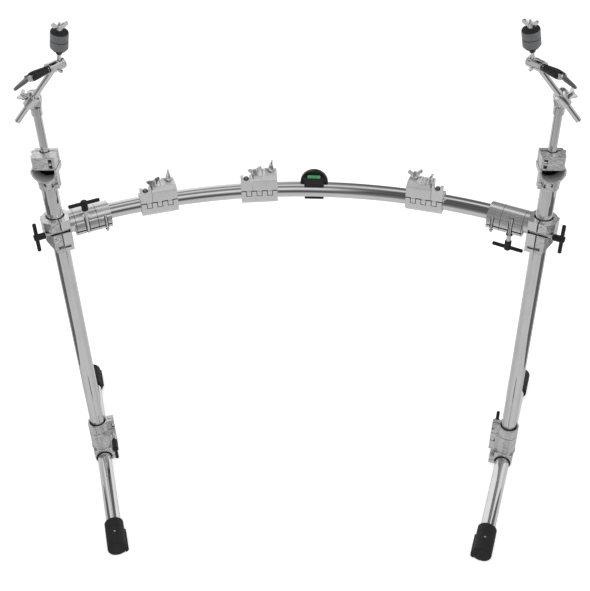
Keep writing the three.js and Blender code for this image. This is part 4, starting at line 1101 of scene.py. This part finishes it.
def top_clamp_body():
    bottom, collar_top, rear = TOP.bottom, TOP.collar_top, TOP.rear
    under = ((-BEYOND, BEYOND), (-60, 50), (bottom, TOP.block))
    collar = [(0, bottom), (22.2, bottom), (22.5, 112), (24, 130), (24, collar_top)]
    shell = join(
        half_round(TOP.cup, TOP.front, rear, under),
        turned([*collar, (0, collar_top)], FINE),
        box((TOP.left, TOP.right), (9.6, rear), (155, TOP.top)),
        box((TUBE, 27), (-10, 10), (bottom, collar_top)),
        *knuckles(TOP, False),
    )
    body = cut(
        shell,
        half_round(TOP.bore, -60, 18, under),
        box((0, 54), (0, 2), (bottom - 1, 125.5)),
        cylinder(TUBE + PLAY, bottom - 1, POST_TOP + 0.3, "z", FINE),
        mast_hole(),
        box((-2.4, 2.4), (-45, -19), (116, 126)),
        box((12.4, 16.4), (-45, -14), (111, 121)),
        turned([(0, bottom - 0.1), (22, bottom - 0.1), (TUBE + 0.2, 107), (0, 107)], FINE),
        *hinge_room(TOP, False),
    )
    return join(body, hinge_pin(TOP))


def top_clamp_jaw():
    left, right, front, top = TOP.left, TOP.right, TOP.front, TOP.top
    corners = arc(left + 8, front + 8, 8, 180, 270, 8) + arc(right - 8, front + 8, 8, 270, 360, 8)
    block = prism([(left, 6.6)] + corners + [(right, 6.6)], TOP.block + 0.3, top)
    bevel = turned([(0, 187.6), (9.7, 187.6), (12.2, top + 0.1), (0, top + 0.1)])
    return cut(
        join(block, *knuckles(TOP, True)),
        mast_hole(),
        box((18, 26), (-52, -16.5), (164.5, 186.5)),
        moved(bevel, *MAST_PLACE),
        *hinge_room(TOP, True),
    )


# %% Painted shade and lining of the cross socket
def socket_floor(low, high):
    """A thin half ring on the floor of the cross socket."""
    x, _, z = TOP.centre
    outer, inner = TOP.bore + 0.2, TOP.bore - 0.4
    return prism(arc(z, x, outer, -88, -272, 40) + arc(z, x, inner, -272, -88, 40), low, high, "y")


def socket_shade_sheet():
    """A dark rubber sheet in the rear of the empty cross socket and on the back of its floor:
    painted shade.
    """
    within = ((-BEYOND, BEYOND), (0, 60), (124, TOP.block - 0.6))
    return join(half_round(TOP.bore - 0.4, 14.4, 17.8, within), socket_floor(TOP.step, 15.0))


# %% [markdown]
# ## Mast and tilter
# The mast ends in a disc, and a second disc with the eye of the boom arm is pressed against it.
# Fine radial teeth on both faces keep the angle. They are cut as a ring of thin wedges.

# %% Toothed discs
TEETH = 40
TILTER_HEIGHT = 321.6
DISC_RADIUS = 17
BOOM_LEAN = 39.8
BOOM_TURN = 57
EYE_Y = -13


def tooth_ring(radius, inner, low, high):
    """A ring of radial teeth that stand up from low to high along Y."""
    points, faces = [], []
    n = 2 * TEETH
    for i in range(n):
        a = pi * i / TEETH
        edge = high if i % 2 else (low + high) / 2
        for r, y in ((inner, low), (radius, low), (radius, edge), (inner, edge)):
            points.append((r * cos(a), r * sin(a), y))
        faces += ring_faces(4 * i, 4 * ((i + 1) % n), 4)
    return solid(points, faces, "y")


def mast_piece():
    stem = turned([
        (0, 162), (9.1, 162), (MAST, 162.6), (MAST, 280), (12.1, 280), (12.5, 280.5),
        (12.5, 295.4), (12, 296), (0, 296),
    ])
    faces = (4.4, 11.6)
    strut = prism([(295, -11.5), (295, 11.5), (314, 15.8), (314, -15.8)], *faces, "y")
    disc = moved(cylinder(DISC_RADIUS, *faces, "y", FINE), z=TILTER_HEIGHT)
    made = cut(
        join(moved(stem, y=8), strut, disc),
        moved(cylinder(7.7, 161, 280), y=8),
        moved(cylinder(3.3, -30, 30, "y", SMALL), z=TILTER_HEIGHT),
    )
    return moved(made, x=4)


def boom_tilter():
    lean = at(axis="Y", degrees=BOOM_LEAN)
    teeth = tooth_ring(15.4, 9.0, -1.5, 0.3)
    whole = join(
        cylinder(DISC_RADIUS, -5.6, 1.6, "y", FINE),
        cut(cylinder(15.2, -6.6, -5.4, "y", FINE), cylinder(12.8, -7.2, -5, "y", FINE)),
        moved(teeth, y=2.3, turn=at(axis="Y", degrees=180 / TEETH)),
        threaded(3.0, -5.6, 30, axis="y"),
        moved(rounded_rod(12.5, -13.5, 13.5, 1.2), y=EYE_Y, turn=lean),
    )
    return cut(whole, moved(cylinder(6.6, -27, 27), y=EYE_Y, turn=lean))


# %% [markdown]
# ## Boom arm, release lever and cymbal tilter
# The arm is a plain rod that ends in a slotted barrel. Behind the barrel are a knurled sleeve
# and a small lever, and the cymbal rod comes out of the slot with its seat, felts and wing nut.

# %% Boom arm; origin in the barrel, whose axis is X
BARREL = 12
BARREL_HALF = 22.0
LEVER_OUT = -74.0
SLEEVE_END = LEVER_OUT + 6
ARM_END = -165.4


def grip_sleeve():
    """The black sleeve between the barrel and the lever."""
    rear = SLEEVE_END
    return turned([
        (6.1, rear), (8.6, rear), (9.4, rear + 0.8), (9.4, rear + 3), (8.9, rear + 3.5),
        (8.9, rear + 4.6), (10, rear + 5.4), (10, rear + 15), (8.4, -33), (7.6, -32.4),
        (7.6, -30.6), (8.1, -30), (8.1, -25), (7.4, -24), (6.1, -24),
    ], FINE, "x")


def boom_arm():
    lean = at(degrees=-BOOM_TURN) @ at(axis="Y", degrees=BOOM_LEAN)
    rod = moved(rounded_rod(6.35, ARM_END, 0, 1.0), turn=lean)
    band = turned([(6.3, 0), (6.5, 0.2), (6.5, 17.8), (6.3, 18), (0, 18), (0, 0)])
    ears = join(
        moved(cylinder(6, -7, 7, "y", SMALL), x=LEVER_OUT),
        box((LEVER_OUT, SLEEVE_END + 1), (-7, 7), (-6, 6)),
    )
    slot = arc(0, 0, 13, 19, 161, 24) + arc(0, 0, 7.8, 161, 19, 24)
    body = cut(
        join(
            rod, moved(moved(band, z=ARM_END + 0.4), turn=lean),
            rounded_rod(BARREL, -BARREL_HALF, BARREL_HALF, 1.2, "x", FINE),
            cylinder(6, SLEEVE_END, 0, "x"), ears,
        ),
        cylinder(8.8, -14, 23, "x", FINE),
        prism(slot, 5.2, 14.8, "x"),
        box((2 * LEVER_OUT, SLEEVE_END), (-3.5, 3.5), (-12, 12)),
        *[ring(20, 11.3, x, x + 1.1, "x") for x in (-17.5, 17)],
    )
    return join(body, moved(cylinder(2, -7.4, 7.4, "y", SMALL), x=LEVER_OUT))


def release_lever():
    eye = cylinder(5.5, -3.2, 3.2, "y", SMALL)
    profile = [(0, -41), (2.2, -41), (3.2, -40), (3.2, -38.4), (2.6, -38), (2.6, -37), (3.7, -36.6)]
    x = start = -36.6
    while x < -9:
        r = 3.7 + 1.9 * (x - start) / 28
        profile += [(r, x + 0.2), (r, x + 1.5), (r - 0.45, x + 1.7), (r - 0.45, x + 2.1)]
        x += 2.3
    grip = turned(profile + [(5.4, x + 0.2), (4.6, -3), (3.0, 0), (0, 0)], ROUND, "x")
    flat = join(box((-50, 10), (-9, 9), (3.9, 12)), box((-50, 10), (-9, 9), (-12, -3.9)))
    return cut(join(eye, grip), flat, cylinder(2.3, -14, 14, "y", SMALL))


# %% Cymbal rod with its seat; origin under the rod on the barrel's axis
def cymbal_rod():
    rod = turned([(0, 0), (4, 0), (4, 26), (3, 27), (3, 36), (0, 36)])
    return join(cylinder(8.4, -10, 10, "x", FINE), rod, threaded(3.0, 35, 97.8))


def cymbal_cup():
    """The black conical cup under the felts, with a thin sleeve that lines them."""
    return turned([
        (3.2, 25), (5.2, 25), (6.2, 26), (7.4, 30), (13.2, 35.4), (14.4, 36), (14.4, 39.6),
        (13.8, 40.2), (3.2, 40.2),
    ], FINE)


# %% [markdown]
# ## Felts
# Two thick felts lie on each cymbal rod with a thin washer between them. Felt has no sharp edge,
# so the profile is rounded over, and a little noise moves the surface as loose fibres do.

# %% Felt discs
FELT_RADIUS = 19.0
FELT_BORE = 3.3
FELT_BULGE = 0.5
ROUGHNESS_SHARE = 0.0028


def felt_disc(low, high):
    crown, steps = 2.4, 8
    flat, height = FELT_RADIUS - crown, high - low - 2 * crown
    profile = [(FELT_BORE, low), (flat, low), *arc(flat, low + crown, crown, -90, 0, 5)]
    for k in range(1, steps):
        bulge = FELT_BULGE * (sin(pi * k / steps) - 1)
        profile.append((FELT_RADIUS + bulge, low + crown + height * k / steps))
    profile += arc(flat, high - crown, crown, 0, 90, 5) + [(FELT_BORE, high)]
    rough = turned(profile, 72)
    for v in rough.data.vertices:
        x, y, z = v.co
        if hypot(x, y) > 4:
            a = atan2(y, x)
            wave = sum(sin(k * a + lean * z) for k, lean in ((23, 1.7), (41, -2.9), (11, 5.1)))
            v.co.x *= 1 + ROUGHNESS_SHARE * wave
            v.co.y *= 1 + ROUGHNESS_SHARE * wave
    return rough


def felts(side, matrix, hand):
    node_name = side + "_cymbal_felts"
    cap = [(3.3, 76.8), (18.2, 76.8), (18.5, 77.2), (18.2, 77.9), (17.4, 78.3), (3.3, 78.3)]
    washer = [(3.3, 57.7), (16, 57.7), (16, 59.5), (3.3, 59.5)]
    for name, rough, finish, slot, edge, replaces in (
        ("lower_felt", felt_disc(40.3, 57.8), FELT, "felt", 0, [node_name]),
        ("upper_felt", felt_disc(59.4, 76.9), FELT, "felt", 0, []),
        ("cymbal_cup", cymbal_cup(), BLACK_PLASTIC, "black_plastic", 0.2, []),
        ("felt_cap", turned(cap, FINE), RUBBER, "rubber", 0, []),
        ("felt_washer", turned(washer), BLACK_METAL, "black_metal", 0.2, []),
    ):
        body, where = body_of_node[node_name], placed(matrix, hand, turned_piece=True)
        finished(rough, f"{side}_{name}", body, where, finish, slot, edge, replaces)


# %% Both top clamps with their booms
BOOM_REACH = 103.4


def top(side, hand):
    clamp, tilter, arm = side + "_top_clamp", side + "_boom_tilter", side + "_boom_arm"
    post = at(-HALF_SPAN, 0, BAR_HEIGHT)
    here = placed(post, hand)
    dress(top_clamp_body(), clamp + "_body", here, 0.8, BRIGHT_CASTING)
    dress(top_clamp_jaw(), clamp + "_jaw", here, 0.8, BRIGHT_CASTING)
    # A dark sheet paints the shade in the rear of the socket.
    finished(socket_shade_sheet(), side + "_socket_shade_sheet", clamp, here, RUBBER, "rubber", 0.3)
    lining = socket_floor(TOP.front + 1, TOP.step)
    finished(lining, side + "_socket_lining", clamp, here, LINING, "rubber", 0)
    dress(mast_piece(), side + "_mast", here, 0.4)
    # The mast's teeth are a separate dark ring, whose tone paints the shade between chromed teeth.
    teeth = moved(tooth_ring(15.2, 9.0, 2.9, 4.7), x=4, z=TILTER_HEIGHT)
    mast = body_of_node[side + "_mast"]
    finished(teeth, side + "_mast_teeth", mast, here, DARK_STEEL_AND_SHADE, "chrome", 0)
    tilting = post @ at(MAST_PLACE[0], 0, TILTER_HEIGHT)
    dress(boom_tilter(), tilter, placed(tilting, hand), 0.4)
    nut = tilting @ at(0, 11.9, 0, "X", -90) @ at(degrees=-38)
    put_wing_nut(side + "_tilter_wing_nut", nut, hand, 1.4)
    wing = tilting @ at(0, EYE_Y, 0, "Y", BOOM_LEAN - 90) @ at(degrees=75) @ at(z=12.0)
    stub = join(wing_nut(0.95), threaded(3.4, -0.5, 14.5, depth=0.4))
    where = placed(wing, hand, turned_piece=True)
    finished(stub, side + "_eye_wing_screw", tilter, where, CHROME, "chrome", 0.8)

    lean = radians(BOOM_LEAN)
    eye_to_barrel = (BOOM_REACH * sin(lean), EYE_Y, BOOM_REACH * cos(lean))
    barrel = tilting @ at(*eye_to_barrel, "Z", BOOM_TURN)
    dress(boom_arm(), arm, placed(barrel, hand), 0.3)
    where = placed(barrel, hand, turned_piece=True)
    finished(grip_sleeve(), side + "_grip_sleeve", arm, where, BLACK_PLASTIC, "black_plastic", 0)
    key_screw(side + "_barrel_screw", arm, barrel @ at(axis="X", degrees=118), 8, 14, hand)
    lever = placed(barrel @ at(LEVER_OUT, 0, 0, "Y", -14), hand)
    dress(release_lever(), side + "_release_lever", lever, 0, DARK_STEEL_AND_SHADE)
    rod = barrel @ at(10, 0, 0, "X", 15)
    dress(cymbal_rod(), side + "_cymbal_tilter", placed(rod, hand, turned_piece=True), 0)
    felts(side, rod, hand)
    put_wing_nut(side + "_cymbal_wing_nut", rod @ at(0, 0, 78.4, "Z", -20), hand, 1.1)
    for name, body, place, reach in (
        ("mast_lock_screw", clamp + "_jaw", (22, -10, 175.5), (-2, 11)),
        ("post_collar_screw", clamp + "_body", (23.5, 0, 115), (-9, 10)),
    ):
        key_screw(f"{side}_{name}", body_of_node[body], post @ at(*place, "X", 90), *reach, hand)


for side, hand in (("left", 1), ("right", -1)):
    top(side, hand)
print("top clamps and booms made")

# %% [markdown]
# ## Studio
# The photograph has a white ground, soft light and the dark stripes that chrome shows when parts
# of a studio are dark. The floor keeps the rack's shadow, and to the camera it also glows, so
# that it meets the white background without an edge.

# %% Floor
def sheet(name, corners, finish):
    """A flat sheet of the studio, which isn't a piece of the rack."""
    mesh = bpy.data.meshes.new(name)
    mesh.from_pydata(corners, [], [(0, 1, 2, 3)])
    mesh.materials.append(finish)
    made = bpy.data.objects.new(name, mesh)
    scene.collection.objects.link(made)
    return made


def floor(size=6.0):
    made = bpy.data.materials.new("pale_floor")
    made.use_nodes = True
    tree = made.node_tree
    shader = tree.nodes["Principled BSDF"]
    shader.inputs["Base Color"].default_value = grey(0.9)
    shader.inputs["Roughness"].default_value = 1.0
    shader.inputs["Specular IOR Level"].default_value = 0.0
    plain = shader.outputs[0]
    glowing = flow(tree, "AddShader", {0: plain, 1: flow(tree, "Emission", {"Strength": 0.45})})
    seen = flow(tree, "LightPath", output="Is Camera Ray")
    pick = flow(tree, "MixShader", {"Fac": seen, 1: plain, 2: glowing})
    tree.links.new(pick, tree.nodes["Material Output"].inputs["Surface"])
    corners = [(-size, -size, 0), (size, -size, 0), (size, size, 0), (-size, size, 0)]
    sheet("floor", corners, made).visible_glossy = False


floor()

# %% [markdown]
# The world has three faces. The camera sees plain white, dull surfaces get soft white light, and
# mirrors see a studio: one ramp of greys from below the front, up, over and down behind, for the
# bright right side, another for the dull left side, with a dark doorway in the rear wall, grey
# ends, and a pale ground. A slow change between them gives the chrome its long soft stripes.

# %% World
def ramp(tree, value, stops):
    made = node(tree, "ValToRGB", {"Fac": value})
    made.color_ramp.interpolation = "B_SPLINE"
    elements = made.color_ramp.elements
    while len(elements) < len(stops):
        elements.new(0.5)
    for element, (place, tone) in zip(elements, stops):
        element.position = place
        element.color = grey(tone)
    return made.outputs["Color"]


def fade(tree, value, start, end):
    """0 up to the start and 1 from the end on, with a soft change between them."""
    if start < end:
        return mapped(tree, value, start, end, soft=True)
    return mapped(tree, value, end, start, 1.0, 0.0, soft=True)


def studio_colour(tree):
    """The grey that a mirror sees in each direction."""
    direction = flow(tree, "TexCoord", output="Generated")
    x, y, z = node(tree, "SeparateXYZ", {0: direction}).outputs
    front = maths(tree, "MULTIPLY", y, -1.0)
    quarter = maths(tree, "ADD", maths(tree, "ARCTAN2", z, front), pi / 2)
    upward = maths(tree, "FRACT", maths(tree, "DIVIDE", quarter, 2 * pi))
    turn = maths(tree, "ABSOLUTE", maths(tree, "ARCTAN2", x, front))
    bright = ramp(tree, upward, [
        (0.0, 0.4), (0.15, 0.12), (0.25, 0.07), (0.28, 0.14), (0.315, 0.55), (0.345, 0.78),
        (0.37, 0.72), (0.4, 0.22), (0.43, 0.14), (0.465, 0.3), (0.5, 0.74), (0.54, 0.72),
        (0.59, 0.55), (0.65, 0.82), (0.75, 0.76), (1.0, 0.7),
    ])
    dull = ramp(tree, upward, [
        (0.0, 0.4), (0.15, 0.2), (0.25, 0.15), (0.275, 0.09), (0.31, 0.07), (0.375, 0.12),
        (0.41, 0.06), (0.46, 0.1), (0.52, 0.2), (0.56, 0.16), (0.62, 0.25), (0.66, 0.5),
        (0.75, 0.72), (1.0, 0.65),
    ])
    below = ramp(tree, maths(tree, "DIVIDE", turn, pi), [
        (0.0, 0.5), (0.12, 0.55), (0.3, 0.52), (0.5, 0.46), (0.66, 0.44), (0.8, 0.55), (1.0, 0.62),
    ])
    rearward = maths(tree, "ADD", x, maths(tree, "MAXIMUM", y, 0.0))
    above = blended(tree, fade(tree, rearward, -0.26, -0.08), dull, bright)
    doorway = fade(tree, x, -0.12, 0.02)
    for value, start, end in ((x, 0.5, 0.38), (y, 0.05, 0.3), (z, 0.02, 0.18)):
        doorway = maths(tree, "MULTIPLY", doorway, fade(tree, value, start, end))
    above = blended(tree, doorway, above, grey(0.12))
    aside = fade(tree, maths(tree, "ABSOLUTE", x), 0.74, 0.97)
    around = blended(tree, aside, above, grey(0.45))
    return blended(tree, fade(tree, z, -0.66, -0.2), below, around)


def studio_world():
    world = scene.world = bpy.data.worlds.new("studio")
    world.use_nodes = True
    tree = world.node_tree
    tree.nodes.clear()
    ray = node(tree, "LightPath").outputs
    white = flow(tree, "Background", {"Color": grey(1.0), "Strength": 1.0})
    soft_light = flow(tree, "Background", {"Color": grey(1.0), "Strength": 0.8})
    mirrored = flow(tree, "Background", {"Color": studio_colour(tree), "Strength": 1.0})
    lighting = flow(tree, "MixShader", {"Fac": ray["Is Glossy Ray"], 1: soft_light, 2: mirrored})
    seen = maths(tree, "MAXIMUM", ray["Is Camera Ray"], ray["Is Transmission Ray"])
    shown = flow(tree, "MixShader", {"Fac": seen, 1: lighting, 2: white})
    node(tree, "OutputWorld", {"Surface": shown})


studio_world()

# %% Two black cards beside the set
CARD_X, CARD_Y, CARD_Z = 0.95, (-0.42, 0.06), (0.05, 0.66)
card_paint = bpy.data.materials.new("card_paint")
card_paint.use_nodes = True
card_paint.node_tree.nodes.clear()
glow = flow(card_paint.node_tree, "Emission", {"Color": grey(0.11)})
node(card_paint.node_tree, "OutputMaterial", {"Surface": glow})
for side, hand in (("left", -1), ("right", 1)):
    corners = [(hand * CARD_X, CARD_Y[i], CARD_Z[k]) for i, k in ((0, 0), (1, 0), (1, 1), (0, 1))]
    card = sheet(side + "_card", corners, card_paint)
    card.visible_camera = card.visible_diffuse = card.visible_shadow = False
    card.visible_transmission = card.visible_volume_scatter = False


# %% [markdown]
# ## Lamps and camera
# One large lamp above and a weaker one at the right model the castings without hard shadows. The
# camera stands a little right of the middle, about two metres up, and looks down at the rack.

# %% Lamps
def lamp(name, place, target, size, power):
    data = bpy.data.lights.new(name, "AREA")
    data.shape, data.size, data.energy = "DISK", size, power
    made = bpy.data.objects.new(name, data)
    made.location = place
    made.visible_glossy = False
    made.rotation_mode = "QUATERNION"
    made.rotation_quaternion = (Vector(target) - Vector(place)).to_track_quat("-Z", "Y")
    scene.collection.objects.link(made)


lamp("key_lamp", (-0.6, -1.6, 3.2), (0, 0, 0.7), 1.8, 22)
lamp("fill_lamp", (1.8, -1.2, 2.2), (0, 0, 0.8), 1.4, 8)

# %% Camera
LENS, SENSOR = 56.41, 36.0
CAMERA_PLACE = (0.0803, -1.8268, 1.9678)
YAW, PITCH, ROLL = -0.0489, 0.6478, 0.0238
data = bpy.data.cameras.new("camera")
data.lens, data.sensor_width = LENS, SENSOR
camera = bpy.data.objects.new("camera", data)
ahead = Vector((sin(YAW) * cos(PITCH), cos(YAW) * cos(PITCH), -sin(PITCH)))
level_right = Vector((cos(YAW), -sin(YAW), 0))
level_down = ahead.cross(level_right)
right = cos(ROLL) * level_right + sin(ROLL) * level_down
down = cos(ROLL) * level_down - sin(ROLL) * level_right
turn = Matrix((right, -down, -ahead)).transposed()
camera.matrix_world = Matrix.Translation(CAMERA_PLACE) @ turn.to_4x4()
scene.collection.objects.link(camera)
scene.camera = camera
scene.view_settings.view_transform = "Standard"
print("camera at", tuple(round(v, 3) for v in camera.location))

# %% Clear the bench
for rough in list(bench.objects):
    bpy.data.objects.remove(rough)
